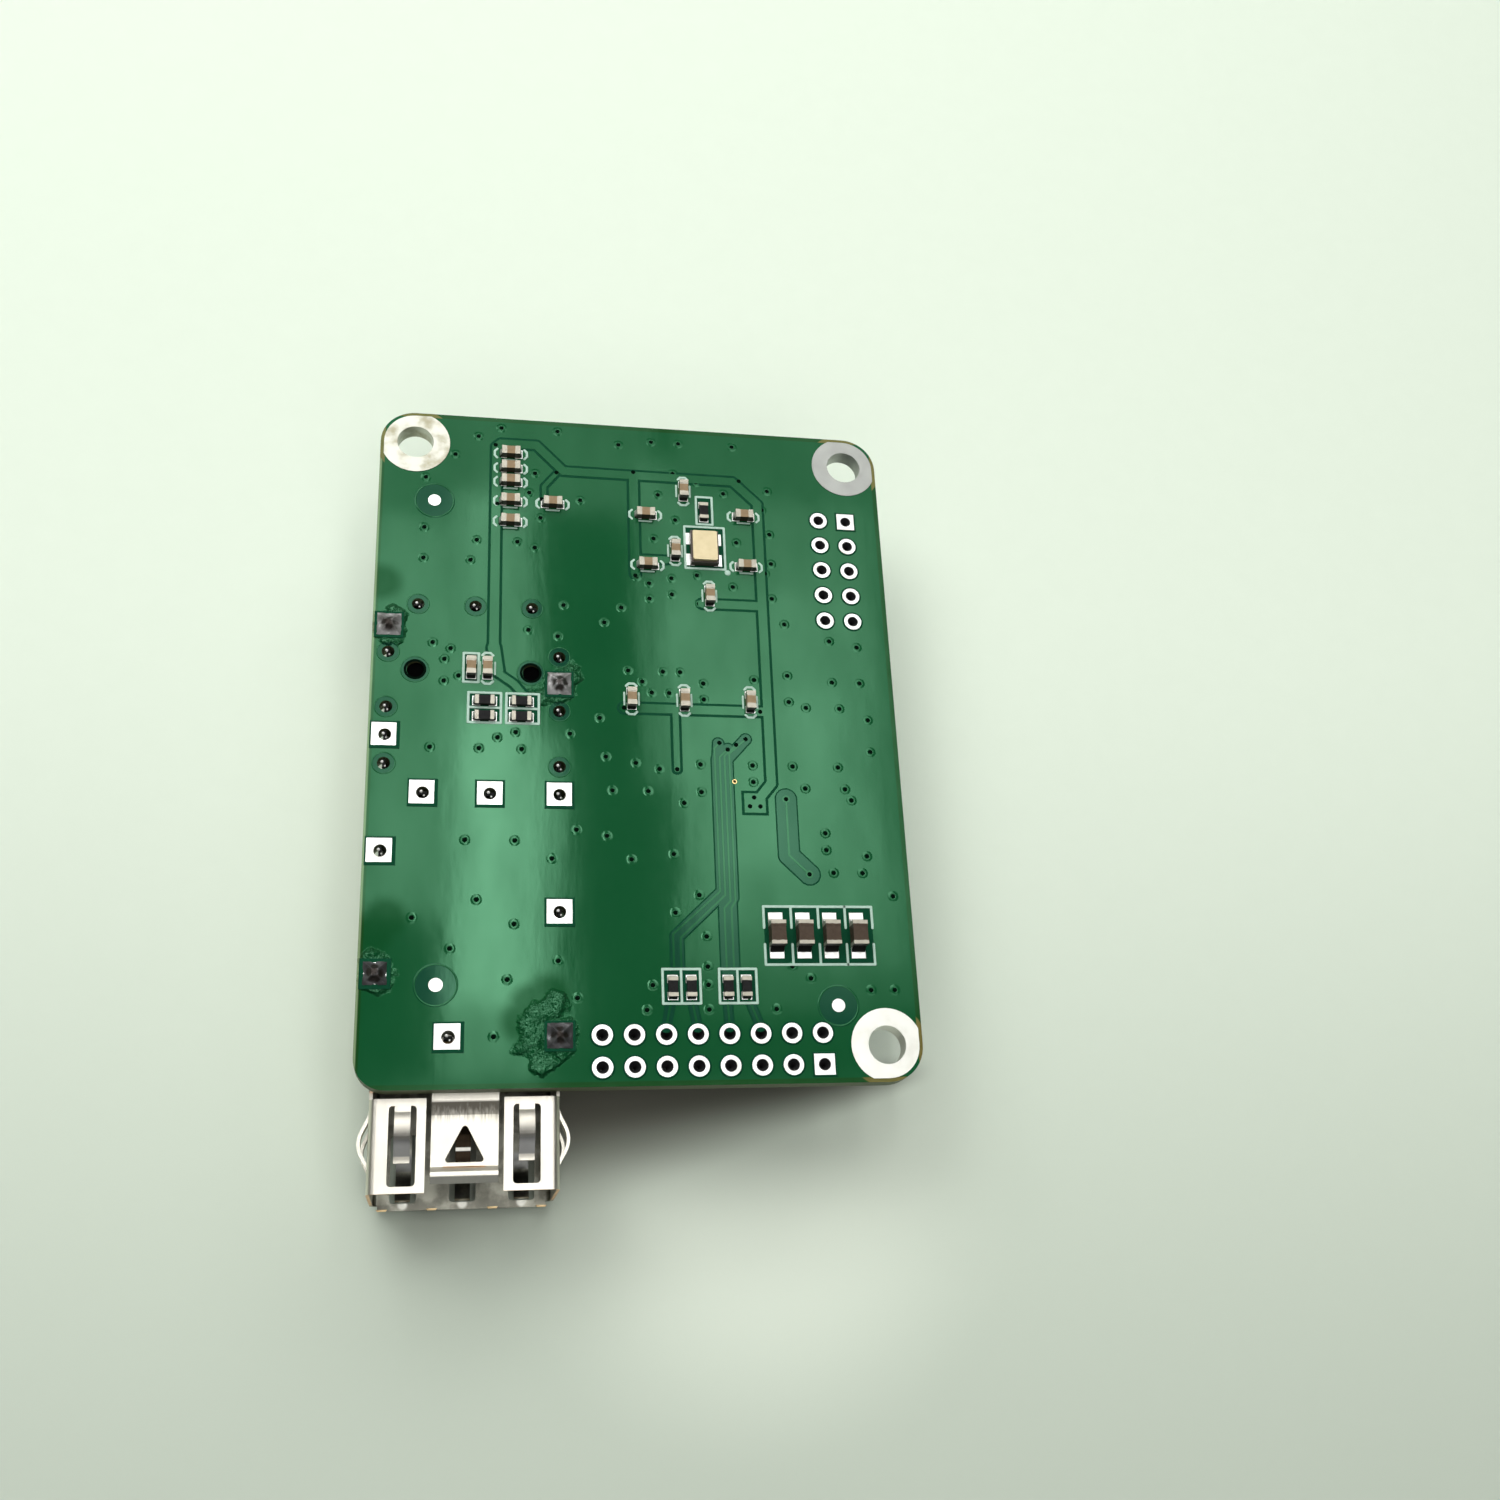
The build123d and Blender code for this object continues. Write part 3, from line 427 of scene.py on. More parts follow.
copper_finish = new_finish("cut_copper", (0.95, 0.7, 0.38), 0.3, 0.8)
roughen(copper_finish, noise(copper_finish, 6000), 0.3, 0.2)
print("metals: tin, solder, plated holes, nickel, gold, copper")

# %% [markdown]
# ## Moulded and fired bodies
#
# A chip capacitor is a tan ceramic block dipped at both ends in silver and tin; a chip resistor is black
# between the same ends. Each is one CAD solid group, so its finish is split along its own length, from the
# Generated coordinates, which run from 0 to 1 across each node.

# %% Chip parts, plastics and ceramics
def chip_finish(name, body_dark, body_light, axis, end_share):
    """A ceramic body between two tinned ends; axis is 0 for a part that lies along X and 1 along Y."""
    made = new_finish(name, body_light, 0.4)
    along = axes(made, "Generated")[axis]
    from_middle = off(made, along, 0.5)
    ragged = product(made, sums(made, "SUBTRACT", noise(made, 3000), 0.5), 0.05)
    end = step(made, sums(made, "ADD", from_middle, ragged), 0.5 - end_share - 0.01, 0.5 - end_share + 0.01)
    body = mix(made, noise(made, 2500, 4), body_dark, body_light)
    tinned = mix(made, noise(made, 1800, 3), (0.5, 0.475, 0.39), (0.34, 0.315, 0.25))
    # The side that faces the board's front is painted dark, as painted shade
    front_face_shade = product(made, step(made, axes(made, "Normal")[1], -0.4, -0.8), 0.9)
    paint(made, front_face_shade, mix(made, end, body, tinned), (0.012, 0.01, 0.008))
    feed(made, "Metallic", product(made, end, sums(made, "MULTIPLY_ADD", front_face_shade, -0.5, 0.5)))
    roughen(made, noise(made, 2200), 0.2, 0.3)
    feed(made, "Specular IOR Level", sums(made, "MULTIPLY_ADD", end, 0.4, 0.1))
    feed(made, "Normal", dent(made, noise(made, 1600, 3), 0.03))
    return made


fillet_finish = new_finish("solder_fillet", (0.4, 0.4, 0.4), 0.35, 0.6)
# The fillets' sides towards the board's front are painted dark too, as painted shade
front_face_shade = step(fillet_finish, axes(fillet_finish, "Normal")[1], 0.1, -0.3)
paint(fillet_finish, front_face_shade, (0.55, 0.54, 0.5), (0.012, 0.011, 0.01))


def plastic(name, dark, light, roughness, grain_mm):
    made = new_finish(name, light, roughness)
    grain = noise(made, 4000, 4)
    paint(made, grain, dark, light)
    roughen(made, noise(made, 900, 3), 0.2, roughness - 0.1)
    feed(made, "Normal", dent(made, grain, grain_mm))
    return made


TAN = ((0.24, 0.165, 0.09), (0.35, 0.255, 0.15))
BROWN = ((0.05, 0.034, 0.023), (0.095, 0.068, 0.048))
BLACK = ((0.004, 0.004, 0.004), (0.014, 0.014, 0.014))
level_capacitor = chip_finish("capacitor_level", *TAN, 0, 0.28)
turned_capacitor = chip_finish("capacitor_turned", *TAN, 1, 0.28)
bulk_capacitor = chip_finish("bulk_capacitor", *BROWN, 1, 0.15)
level_resistor = chip_finish("resistor_level", *BLACK, 0, 0.2)
turned_resistor = chip_finish("resistor_turned", *BLACK, 1, 0.2)
housing_finish = plastic("connector_plastic", (0.01, 0.01, 0.011), (0.022, 0.022, 0.024), 0.45, 0.004)
# The pegs end inside the board's holes, and their ends are painted near black there, as painted shade
peg_end_shade = step(housing_finish, axes(housing_finish)[2], -1.62 * MM, -1.55 * MM)
peg_colour = mix(housing_finish, peg_end_shade, (0.016, 0.016, 0.017), (0.0015, 0.0015, 0.0015))
feed(housing_finish, "Base Color", peg_colour)
feed(housing_finish, "Specular IOR Level", sums(housing_finish, "MULTIPLY_ADD", peg_end_shade, -0.5, 0.5))
epoxy_finish = plastic("chip_epoxy", (0.012, 0.012, 0.013), (0.028, 0.028, 0.03), 0.55, 0.006)
ceramic_finish = plastic("fired_ceramic", (0.035, 0.024, 0.018), (0.075, 0.05, 0.04), 0.45, 0.006)
lid_finish = new_finish("gilt_lid", (0.78, 0.66, 0.4), 0.35, 0.35)
lid_worn = noise(lid_finish, 1500, 4)
paint(lid_finish, lid_worn, (0.7, 0.6, 0.37), (0.55, 0.45, 0.25))
roughen(lid_finish, lid_worn, 0.25, 0.25)
feed(lid_finish, "Normal", dent(lid_finish, noise(lid_finish, 4000), 0.002))

# %% [markdown]
# ## White print
#
# The print on a board is a thin matt epoxy ink, pale with a little of the green showing through, and its
# edges are slightly uneven.

# %% Print ink, and black painted shade for holes
print_finish = new_finish("white_print", (0.6, 0.76, 0.66), 0.6)
uneven_ink = noise(print_finish, 3500, 4)
paint(print_finish, uneven_ink, (0.54, 0.72, 0.61), (0.34, 0.52, 0.42))
feed(print_finish, "Normal", dent(print_finish, uneven_ink, 0.004))

# Black discs and rings in and round holes are painted shade
hole_shade_finish = new_finish("painted_hole_shade", (0.002, 0.007, 0.004), 0.8)
feed(hole_shade_finish, "Specular IOR Level", 0.0)
roughen(hole_shade_finish, noise(hole_shade_finish, 5000), 0.2, 0.7)

# %% Give the CAD nodes their finishes
def give(node, made):
    for slot in frame["nodes"][node].material_slots:
        slot.material = made


for made, nodes in (
    (mask_finish, "circuit_board"),
    (nickel_finish, "cage_shell cage_base"),
    (housing_finish, "connector_housing"),
    (gold_finish, "connector_contacts_upper connector_contacts_lower"),
    (ceramic_finish, "oscillator_base"),
    (lid_finish, "oscillator_lid"),
    (epoxy_finish, "transceiver_chip voltage_regulator"),
    (solder_finish, "solder_joints"),
    (ring_finish, "mounting_rings"),
    (tin_finish, "header_pads_rear header_pads_front cage_pads fiducials"),
):
    for node in nodes.split():
        give(node, made)


def lies_along_y(node):
    low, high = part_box(node)
    return high.y - low.y > high.x - low.x


chip_finishes = {
    "capacitor": (level_capacitor, turned_capacitor),
    "resistor": (level_resistor, turned_resistor),
}
level_chips, turned_chips = [], []
for node in sorted(frame["nodes"]):
    kind = node.split("_")[0]
    if kind in chip_finishes:
        turned = lies_along_y(node)
        (turned_chips if turned else level_chips).append(node)
        give(node, chip_finishes[kind][turned])
bulk_chips = [node for node in sorted(frame["nodes"]) if node.startswith("bulk_capacitor_")]
for node in bulk_chips:
    give(node, bulk_capacitor)
print(len(level_chips), "chips level,", len(turned_chips), "turned,", len(bulk_chips), "bulk")

# %% [markdown]
# ## Tools for shapes
#
# The thin things on the board are drawn in edit mode from primitives. A strip is a low round plate cut in
# two halves that are pulled apart, which is just how a plotter draws a track. A turned shape is a circle
# that is extruded and resized ring by ring.

# %% Helpers for shapes
def start_piece():
    """An empty mesh in edit mode, which the next primitives are added to."""
    bpy.ops.object.select_all(action="DESELECT")
    bpy.ops.object.add(type="MESH")
    bpy.ops.object.mode_set(mode="EDIT")
    return bpy.context.object


def keep_selected(test):
    """Of the selected corners, keeps those whose place passes the test."""
    mesh = bmesh.from_edit_mesh(bpy.context.object.data)
    for corner in mesh.verts:
        corner.select = corner.select and bool(test(corner.co))
    mesh.select_flush_mode()
    bmesh.update_edit_mesh(bpy.context.object.data)


def select_where(test):
    """Selects all the corners whose place passes the test."""
    bpy.ops.mesh.select_all(action="SELECT")
    keep_selected(test)


layers = itertools.count()


def strip(start, end, width, low, high, slope=0.04):
    """A flat strip with round ends and a sloping rim, between two points in millimetres.

    Each strip stands a thousandth of a millimetre off the last, so that no two tops share a plane."""
    high += 0.001 * (next(layers) % 8)
    begin, finish = Vector((*start, 0)) * MM, Vector((*end, 0)) * MM
    run = finish - begin
    heading = math.atan2(run.y, run.x)
    bpy.ops.mesh.primitive_cone_add(
        vertices=16,
        radius1=width / 2 * MM,
        radius2=(width / 2 - slope) * MM,
        depth=(high - low) * MM,
        location=(begin.x, begin.y, (low + high) / 2 * MM),
        rotation=(0, 0, heading + math.pi / 16),
    )
    if run.length > 0:
        keep_selected(lambda place: (place - begin).dot(run) > 0)
        bpy.ops.transform.translate(value=run)


def route(points, width, low, high, slope=0.04):
    """Strips from point to point."""
    for start, end in zip(points, points[1:]):
        strip(start, end, width, low, high, slope)


def slab(x0, y0, x1, y1, low, high, slope=0.04):
    """A flat rectangular plate whose rim slopes in to its top."""
    middle = Vector(((x0 + x1) / 2, (y0 + y1) / 2, (low + high) / 2)) * MM
    wide, deep = abs(x1 - x0), abs(y1 - y0)
    bpy.ops.mesh.primitive_cube_add(
        size=1, location=middle, scale=(wide * MM, deep * MM, (high - low) * MM)
    )
    keep_selected(lambda place: place.z > middle.z)
    share = (1 - 2 * slope / wide, 1 - 2 * slope / deep, 1)
    bpy.ops.transform.resize(value=share, center_override=middle)


def turn(profile, sides, x=0.0, y=0.0, closing="OPEN"):
    """A turned shape through (radius, height) points; closing is OPEN, POINT or RING."""
    (radius, height), *rest = profile
    bpy.ops.mesh.primitive_circle_add(
        vertices=sides, radius=radius * MM, location=(x * MM, y * MM, height * MM)
    )
    if closing == "RING":
        rest = rest + [profile[0]]
    for next_radius, next_height in rest:
        rise = (0, 0, (next_height - height) * MM)
        bpy.ops.mesh.extrude_region_move(TRANSFORM_OT_translate={"value": rise})
        share = next_radius / radius
        bpy.ops.transform.resize(
            value=(share, share, 1), center_override=(x * MM, y * MM, next_height * MM)
        )
        radius, height = next_radius, next_height
    if closing == "POINT":
        bpy.ops.mesh.merge(type="CENTER")


def end_piece(piece, name, made, smooth=30):
    """Cleans a finished mesh, names it, and lets it ride on the board."""
    if bpy.context.mode == "EDIT_MESH":
        bpy.ops.mesh.select_all(action="SELECT")
        bpy.ops.mesh.remove_doubles(threshold=0.000001)
        bpy.ops.mesh.normals_make_consistent(inside=False)
        bpy.ops.object.mode_set(mode="OBJECT")
    piece.name = name
    piece.data.name = name
    bpy.ops.object.select_all(action="DESELECT")
    piece.select_set(True)
    bpy.context.view_layer.objects.active = piece
    bpy.ops.object.transform_apply(location=True, rotation=True, scale=True)
    bpy.ops.object.shade_smooth_by_angle(angle=math.radians(smooth))
    piece.data.materials.clear()
    piece.data.materials.append(made)
    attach(piece, "root")
    print(name, len(piece.data.polygons), "faces")
    return piece


def copies(master, spots):
    """Copies a master to (x, y, angle in degrees) spots, each with its own mesh, and joins them."""
    bpy.ops.object.mode_set(mode="OBJECT")
    made = []
    for x, y, angle in spots:
        twin = master.copy()
        twin.data = master.data.copy()
        twin.location = (x * MM, y * MM, 0)
        twin.rotation_euler = (0, 0, math.radians(angle))
        bpy.context.scene.collection.objects.link(twin)
        made.append(twin)
    bpy.data.objects.remove(master)
    bpy.ops.object.select_all(action="DESELECT")
    for twin in made:
        twin.select_set(True)
    bpy.context.view_layer.objects.active = made[0]
    bpy.ops.object.join()
    return bpy.context.object


# %% [markdown]
# ## Tracks under the mask
#
# Most of the solder face is one sheet of copper. A track is a strip of that copper with a narrow gap along
# both sides, so each net is drawn twice: wide in the darker finish of mask over bare laminate, and then
# narrower, a little higher, in the finish of mask over copper. Where two strips meet, the higher copper
# covers the gap between them by itself.

# %% Routes of the nets, in millimetres from the front right mounting hole
GAP = 0.2
SUPPLY = ((-31.9, 34.2), (-31.9, 54), (-31.5, 54.4), (-28.4, 54.4), (-26, 51.9), (-10.6, 51.8))
SUPPLY_DOWN = ((-10.6, 51.8), (-8.4, 49.6), (-8.45, 22.4), (-9.4, 21.2))
WIDE_NETS = (
    (SUPPLY, 0.88),
    (SUPPLY_DOWN, 0.88),
    (((-26.6, 51.6), (-27.7, 50.2), (-27.7, 48.6)), 0.45),
    (((-19.7, 51.8), (-19.7, 41.9)), 0.88),
    (((-19.7, 43.4), (-16.9, 43.4)), 0.75),
    (((-13.8, 39.2), (-8.5, 39.2)), 0.88),
    (((-20.9, 29), (-8.5, 29)), 0.88),
    (((-16.5, 28.8), (-16.5, 23.5)), 0.6),
    (((-31.9, 34.2), (-31.6, 32.1)), 1.1),
    (((-31.6, 31.9), (-30.2, 30.9), (-29.3, 29.8)), 0.7),
)
PAD_AREA = (-10.9, 19.7, -9, 21.5)
LONE_TRACK = ((-7.25, 21), (-7.25, 16), (-5.6, 14.35))
BUNDLE_LEGS = (
    ((-17.5, 4), (-18, 1.6)),
    ((-15.9, 4), (-15.5, 1.6)),
    ((-13, 4), (-12.9, 1.6)),
    ((-11.3, 4), (-10.4, 1.6)),
)
BUNDLE_BAND = (
    (((-12.63, 24.4), (-12.63, 12.4)), 1.85),
    (((-12.9, 25.95), (-13, 24.4)), 0.95),
    (((-12.1, 25.4), (-12.5, 24.4)), 1.1),
    (((-10.5, 26.4), (-12.1, 24.6)), 0.95),
    (((-13.1, 12.7), (-16.95, 9), (-16.95, 6.3)), 1.1),
    (((-12.65, 12), (-12.65, 6.3)), 1.55),
    *[(leg, 0.7) for leg in BUNDLE_LEGS],
)
BUNDLE_TRACKS = (
    ((-12.8, 26), (-13.25, 25.5), (-13.25, 12.8), (-17.25, 9.2), (-17.25, 6.3)),
    ((-12.1, 25.4), (-12.83, 24.7), (-12.83, 12.5), (-16.65, 8.9), (-16.65, 6.3)),
    ((-11.35, 25.85), (-12.41, 24.8), (-12.41, 12), (-12.95, 11.4), (-12.95, 6.3)),
    ((-10.5, 26.4), (-11.99, 25), (-11.99, 12), (-12.35, 11.4), (-12.35, 6.3)),
    *BUNDLE_LEGS,
)
GAP_TOP, TRACK_TOP = 0.008, 0.026

# %% Draw the gaps
piece = start_piece()
for points, width in WIDE_NETS:
    route(points, width + 2 * GAP, 0, GAP_TOP, 0.02)
x0, y0, x1, y1 = PAD_AREA
slab(x0 - GAP, y0 - GAP, x1 + GAP, y1 + GAP, 0, GAP_TOP, 0.02)
route(LONE_TRACK, 2.0, 0, GAP_TOP, 0.02)
for points, width in BUNDLE_BAND:
    route(points, width + 0.2, 0, GAP_TOP, 0.02)
end_piece(piece, "track_gaps", groove_finish, 12)

piece = start_piece()
route(LONE_TRACK, 1.8, 0, GAP_TOP + 0.01, 0.02)
for points, width in BUNDLE_BAND:
    route(points, width, 0, GAP_TOP + 0.01, 0.02)
end_piece(piece, "cleared_bands", gap_finish, 12)

# %% Draw the copper over them
piece = start_piece()
for points, width in WIDE_NETS:
    route(points, width, 0, TRACK_TOP)
slab(*PAD_AREA, 0, TRACK_TOP)
route(LONE_TRACK, 0.26, 0, TRACK_TOP)
for spot in (LONE_TRACK[0], LONE_TRACK[-1]):
    strip(spot, spot, 0.75, 0, TRACK_TOP)
for points in BUNDLE_TRACKS:
    route(points, 0.24, 0, TRACK_TOP)
end_piece(piece, "tracks", track_finish, 12)

# %% [markdown]
# ## Vias
#
# A via is a plated hole through the board. The mask runs over its copper collar, which stands up as a low
# ring, and sinks into its mouth. One is modelled with few faces and copied to every place, because there
# are more than a hundred.

# %% Via places, by rows from the front
VIA_ROWS = {
    1: (-31.5,), 3: (-19.5, -14.5, -9), 4: (-25,), 4.5: (-1, 1), 5: (-19, -14.5), 5.5: (-30.5, -6),
    6.5: (-14.5, -7.5), 7: (-26.5,), 8: (-35,), 9: (-14.5,), 10: (-30,), 10.5: (-38,), 11: (-17,),
    12: (-33,), 12.5: (-15, 1.5), 14.5: (-3.5, -1), 15.5: (-27, -20.5), 16: (-17, -0.5), 16.5: (-4,),
    17: (-34, -30), 17.5: (-22.5,), 18: (-25, -4), 20.5: (-16,), 21: (-1.5,), 21.5: (-22, -19, -14.5),
    22: (-5.5, -2), 22.5: (-10,), 23.5: (-18,), 24: (-20, -14.5, -10, -6.5, -2.5), 24.5: (-22.5,),
    25: (-37, -33, -29.5), 25.5: (0.5,), 26: (-31.5,), 26.5: (-30, -25.5), 28: (-23,), 28.5: (0.5,),
    29.5: (-5, -2), 30: (-14, -6.5), 30.5: (-18.5, -17), 31: (-36,), 31.5: (-34.8, -19.3, -14),
    32: (-9.5, -2.5, 0), 32.5: (-20.5, -17.5, -16, -6.5), 33: (-36,), 34: (-35.5,), 34.5: (-37,),
    35.5: (-26.5, 0), 36: (-29, -2.5), 37: (-22.5,), 37.5: (-6.5,), 38.5: (-26, -21), 39.2: (-14.1, -12.1),
    40: (-16.5, -7.5), 39.5: (-18.5,), 41: (-18.5, -11), 41.6: (-19.6, -16.5), 42: (-14.2,),
    42.5: (-38, -34, -8), 43.5: (-7.4,), 44: (-28.5,), 44.5: (-33.5, -30), 45.5: (-38, -18, -10.5),
    46.5: (-7.4,), 47: (-28,), 47.5: (-16,), 49: (-24.5, -8), 49.5: (-29,), 50: (-17.5,),
    50.5: (-38, -11.5), 51: (-7.4,), 51.5: (-28.5, -14), 52.3: (-16.1,), 53: (-35.5,), 55: (-33.5, -21),
    55.5: (-18, -15.5, -10.5), 56: (-31.5, -26.5),
}
NET_VIAS = (
    (-32, 54.2), (-31.8, 48.2), (-27.9, 48.9), (-26.6, 51.7), (-19.7, 52.2), (-19.7, 41.7), (-10, 51.9),
    (-12.8, 26), (-12.1, 25.4), (-11.35, 25.85), (-10.5, 26.4), (-16.5, 23.5), (-7.25, 21),
    (-5.6, 14.35), (-10, 21.1), (-10.4, 20.3), (-9.5, 20.3), (-20.9, 29), (-9.1, 29),
)
# Each via has a turn of its own, so that no two catch the light alike
via_spots = [(x, y, (x * 37 + y * 53) % 360) for y, row in VIA_ROWS.items() for x in row]
net_spots = [(x, y, 30) for x, y in NET_VIAS]

# %% One via's collar, then its mouth
piece = start_piece()
turn(((0.48, 0), (0.38, 0.01), (0.27, 0.014), (0.2, 0.012), (0.18, 0.001)), 12)
end_piece(copies(piece, via_spots), "via_collars", track_finish, 60)

# Each via's mouth is a black disc, painted shade in the hole
for name, foot, spots in (("via_mouths", 0.001, via_spots), ("net_via_mouths", 0.03, net_spots)):
    piece = start_piece()
    turn(((0.2, foot), (0.19, foot + 0.015), (0.1, foot + 0.014)), 12, closing="POINT")
    end_piece(copies(piece, spots), name, hole_shade_finish, 60)

# One via was left open in the mask, so its gold ring shows
piece = start_piece()
turn(((0.22, 0), (0.2, 0.03), (0.14, 0.03), (0.13, 0.002)), 16, -11.62, 22.5, "RING")
end_piece(piece, "bare_via", gold_finish, 40)
# Its mouth is a black disc too, painted shade
piece = start_piece()
turn(((0.13, 0.001), (0.125, 0.02), (0.07, 0.02)), 12, -11.62, 22.5, closing="POINT")
end_piece(piece, "bare_via_mouth", hole_shade_finish, 60)
print(len(via_spots) + len(net_spots) + 1, "vias")

# %% [markdown]
# ## Clearings in the copper
#
# Round each unplated hole, fiducial dot and tinned pad the copper is cleared back, and the mask there is
# darker. The clearings are flat rings that leave the holes open. A fiducial has a second, thin ring.

# %% Clearing rings and frames
SQUARE_PADS = [
    (x, y) for x, column in ((LEFT_PINS, (6, 16, 26, 36)), (RIGHT_PINS, (1, 11, 21, 31))) for y in column
] + [(-37.45, 21), (-32.05, 21), (-34.95, 1)]
PLAIN_PINS = [(x, y) for x in (LEFT_PINS, RIGHT_PINS) for y in (23.5, 28.5, 33.5)]
PLAIN_PINS += [(x, 38.05) for x in (-38.3, CAGE_MIDDLE, -28.7)]
PEG_HOLES = ((-38.3, 31.95), (-28.7, 31.95))
FIDUCIALS = ((-37.2, 48.2), (-36.0, 5.1), (-3.85, 3.25))
RESISTOR_BOXES = (
    (-33.95, 27.3, -31.25, 30.0), (-30.8, 27.3, -28.1, 30.0), (-18.2, 3.5, -15.15, 6.3),
    (-13.6, 3.5, -10.55, 6.3), (-34.4, 30.95, -33.15, 33.6),
)
PART_BOXES = ((-15.2, 42.7, -11.6, 46.9), (-14.05, 47.2, -12.6, 50.0), (-9.7, 6.65, -0.5, 11.55))
PITCH = 2.54
REAR_HEADER = [(-0.2 - PITCH * c, 48.2 - PITCH * r) for c in range(2) for r in range(5)]
FRONT_HEADER = [(-5.3 - PITCH * c, -1.5 + PITCH * r) for c in range(8) for r in range(2)]
LIP_TOP = 0.056  # the mask's lip stands just above the pads


def is_soldered(x, y):
    return any(abs(x - px) < 1 and y == py for px, py in SOLDERED_PINS)


def rings(*sets):
    """Closed turned rings; each set has its spots, its number of sides and its profile."""
    for spots, sides, *profile in sets:
        for x, y in spots:
            turn(profile, sides, x, y, "RING")


def frame_round(x, y, reach, left, right, front, rear):
    """A flat square frame whose four inner edges lie at their own distances from the middle."""
    lap = 0.05
    slab(x - reach, y - reach, x - left, y + reach, 0, LIP_TOP, 0.02)
    slab(x + right, y - reach, x + reach, y + reach, 0, LIP_TOP, 0.02)
    slab(x - left - lap, y - reach, x + right + lap, y - front, 0, LIP_TOP - 0.001, 0.02)
    slab(x - left - lap, y + rear, x + right + lap, y + reach, 0, LIP_TOP - 0.001, 0.02)


piece = start_piece()
for spots, outer, inner in ((REAR_HEADER, 0.95, 0.79), (FRONT_HEADER, 1.0, 0.83)):
    for x, y in spots[1:]:
        turn(((outer, 0), (outer - 0.09, LIP_TOP), (inner, LIP_TOP), (inner, 0.02)), 24, x, y, "RING")
# Inside the print boxes round some parts the mask is darker
for x0, y0, x1, y1 in PART_BOXES + RESISTOR_BOXES:
    slab(x0, y0, x1, y1, 0, 0.008, 0.01)
for x, y in SQUARE_PADS:
    if is_soldered(x, y):
        inner = 0.84 if (x, y) == (LEFT_PINS, 6) else 0.92
        frame_round(x, y, 1.22, inner, inner, inner - 0.03, inner + 0.03)
    elif x < CAGE_MIDDLE:
        frame_round(x, y, 1.22, 1.06, 0.9, 0.93, 1.04)
    else:
        frame_round(x, y, 1.22, 1.02, 0.99, 0.93, 1.04)
frame_round(*REAR_HEADER[0], 0.95, 0.78, 0.78, 0.78, 0.78)
frame_round(*FRONT_HEADER[0], 1.0, 0.83, 0.83, 0.83, 0.83)
end_piece(piece, "copper_clearings", groove_finish, 12)

# The copper is cleared a little to the left of the peg holes
piece = start_piece()
beside_pegs = [(x - 0.1, y) for x, y in PEG_HOLES]
rings(
    (FIDUCIALS, 40, (1.75, 0), (1.73, 0.008), (0.54, 0.008), (0.54, 0)),
    (PLAIN_PINS, 24, (0.95, 0), (0.93, 0.01), (0.53, 0.01), (0.53, 0)),
    (beside_pegs, 32, (1.16, 0), (1.14, 0.01), (0.78, 0.01), (0.78, 0)),
)
end_piece(piece, "round_clearings", gap_finish, 12)

piece = start_piece()
rings(
    (FIDUCIALS, 40, (1.72, 0.006), (1.69, 0.03), (1.6, 0.03), (1.57, 0.006)),
    (PLAIN_PINS, 24, (0.98, 0), (0.95, 0.03), (0.89, 0.03), (0.86, 0.006)),
    (beside_pegs, 32, (1.21, 0), (1.18, 0.03), (1.13, 0.03), (1.1, 0.006)),
)
end_piece(piece, "clearing_rims", track_finish, 60)

# A black ring round each peg hole is painted shade at the hole's edge
piece = start_piece()
by_pegs = [(x - 0.08, y) for x, y in PEG_HOLES]
rings((by_pegs, 32, (0.95, 0), (0.91, 0.02), (0.72, 0.02), (0.72, 0)))
end_piece(piece, "peg_hole_shade_rings", hole_shade_finish, 30)

# %% [markdown]
# ## Plated holes
#
# The header holes and mounting holes have a tube of tinned copper inside. A tube with a wall is a closed
# turned ring, and it ends flush with the pads.

# %% Barrels in the holes
PAD_TOP, UNDERSIDE = 0.05, -1.6


def barrels(name, sets, made, waist=0.0):
    piece = start_piece()
    for spots, radius in sets:
        outer, inner = radius - 0.004, radius - 0.04
        rim = ((outer, PAD_TOP), (inner + 0.01, PAD_TOP), (inner, PAD_TOP - 0.03))
        for x, y in spots:
            foot = ((inner - waist, UNDERSIDE / 2), (inner - waist, UNDERSIDE), (outer, UNDERSIDE))
            turn(rim + foot, 32, x, y, "RING")
    end_piece(piece, name, made, 40)


# The header tubes are painted near black, as painted shade, and narrow almost shut halfway down
barrels("header_barrels", ((REAR_HEADER, 0.475), (FRONT_HEADER, 0.5)), barrel_shade_finish, 0.36)
barrels("mounting_barrels", ((MOUNT_HOLES, 1.6),), ring_finish)

# %% [markdown]
# ## Solder
#
# Four of the cage's pins are soldered by hand. The solder wets the whole square pad and climbs to the pin,
# so the mound is a low pyramid with hollow sides and a ridge to each corner. Proportional editing pushes the
# sides in, and a little noise makes no two mounds alike.

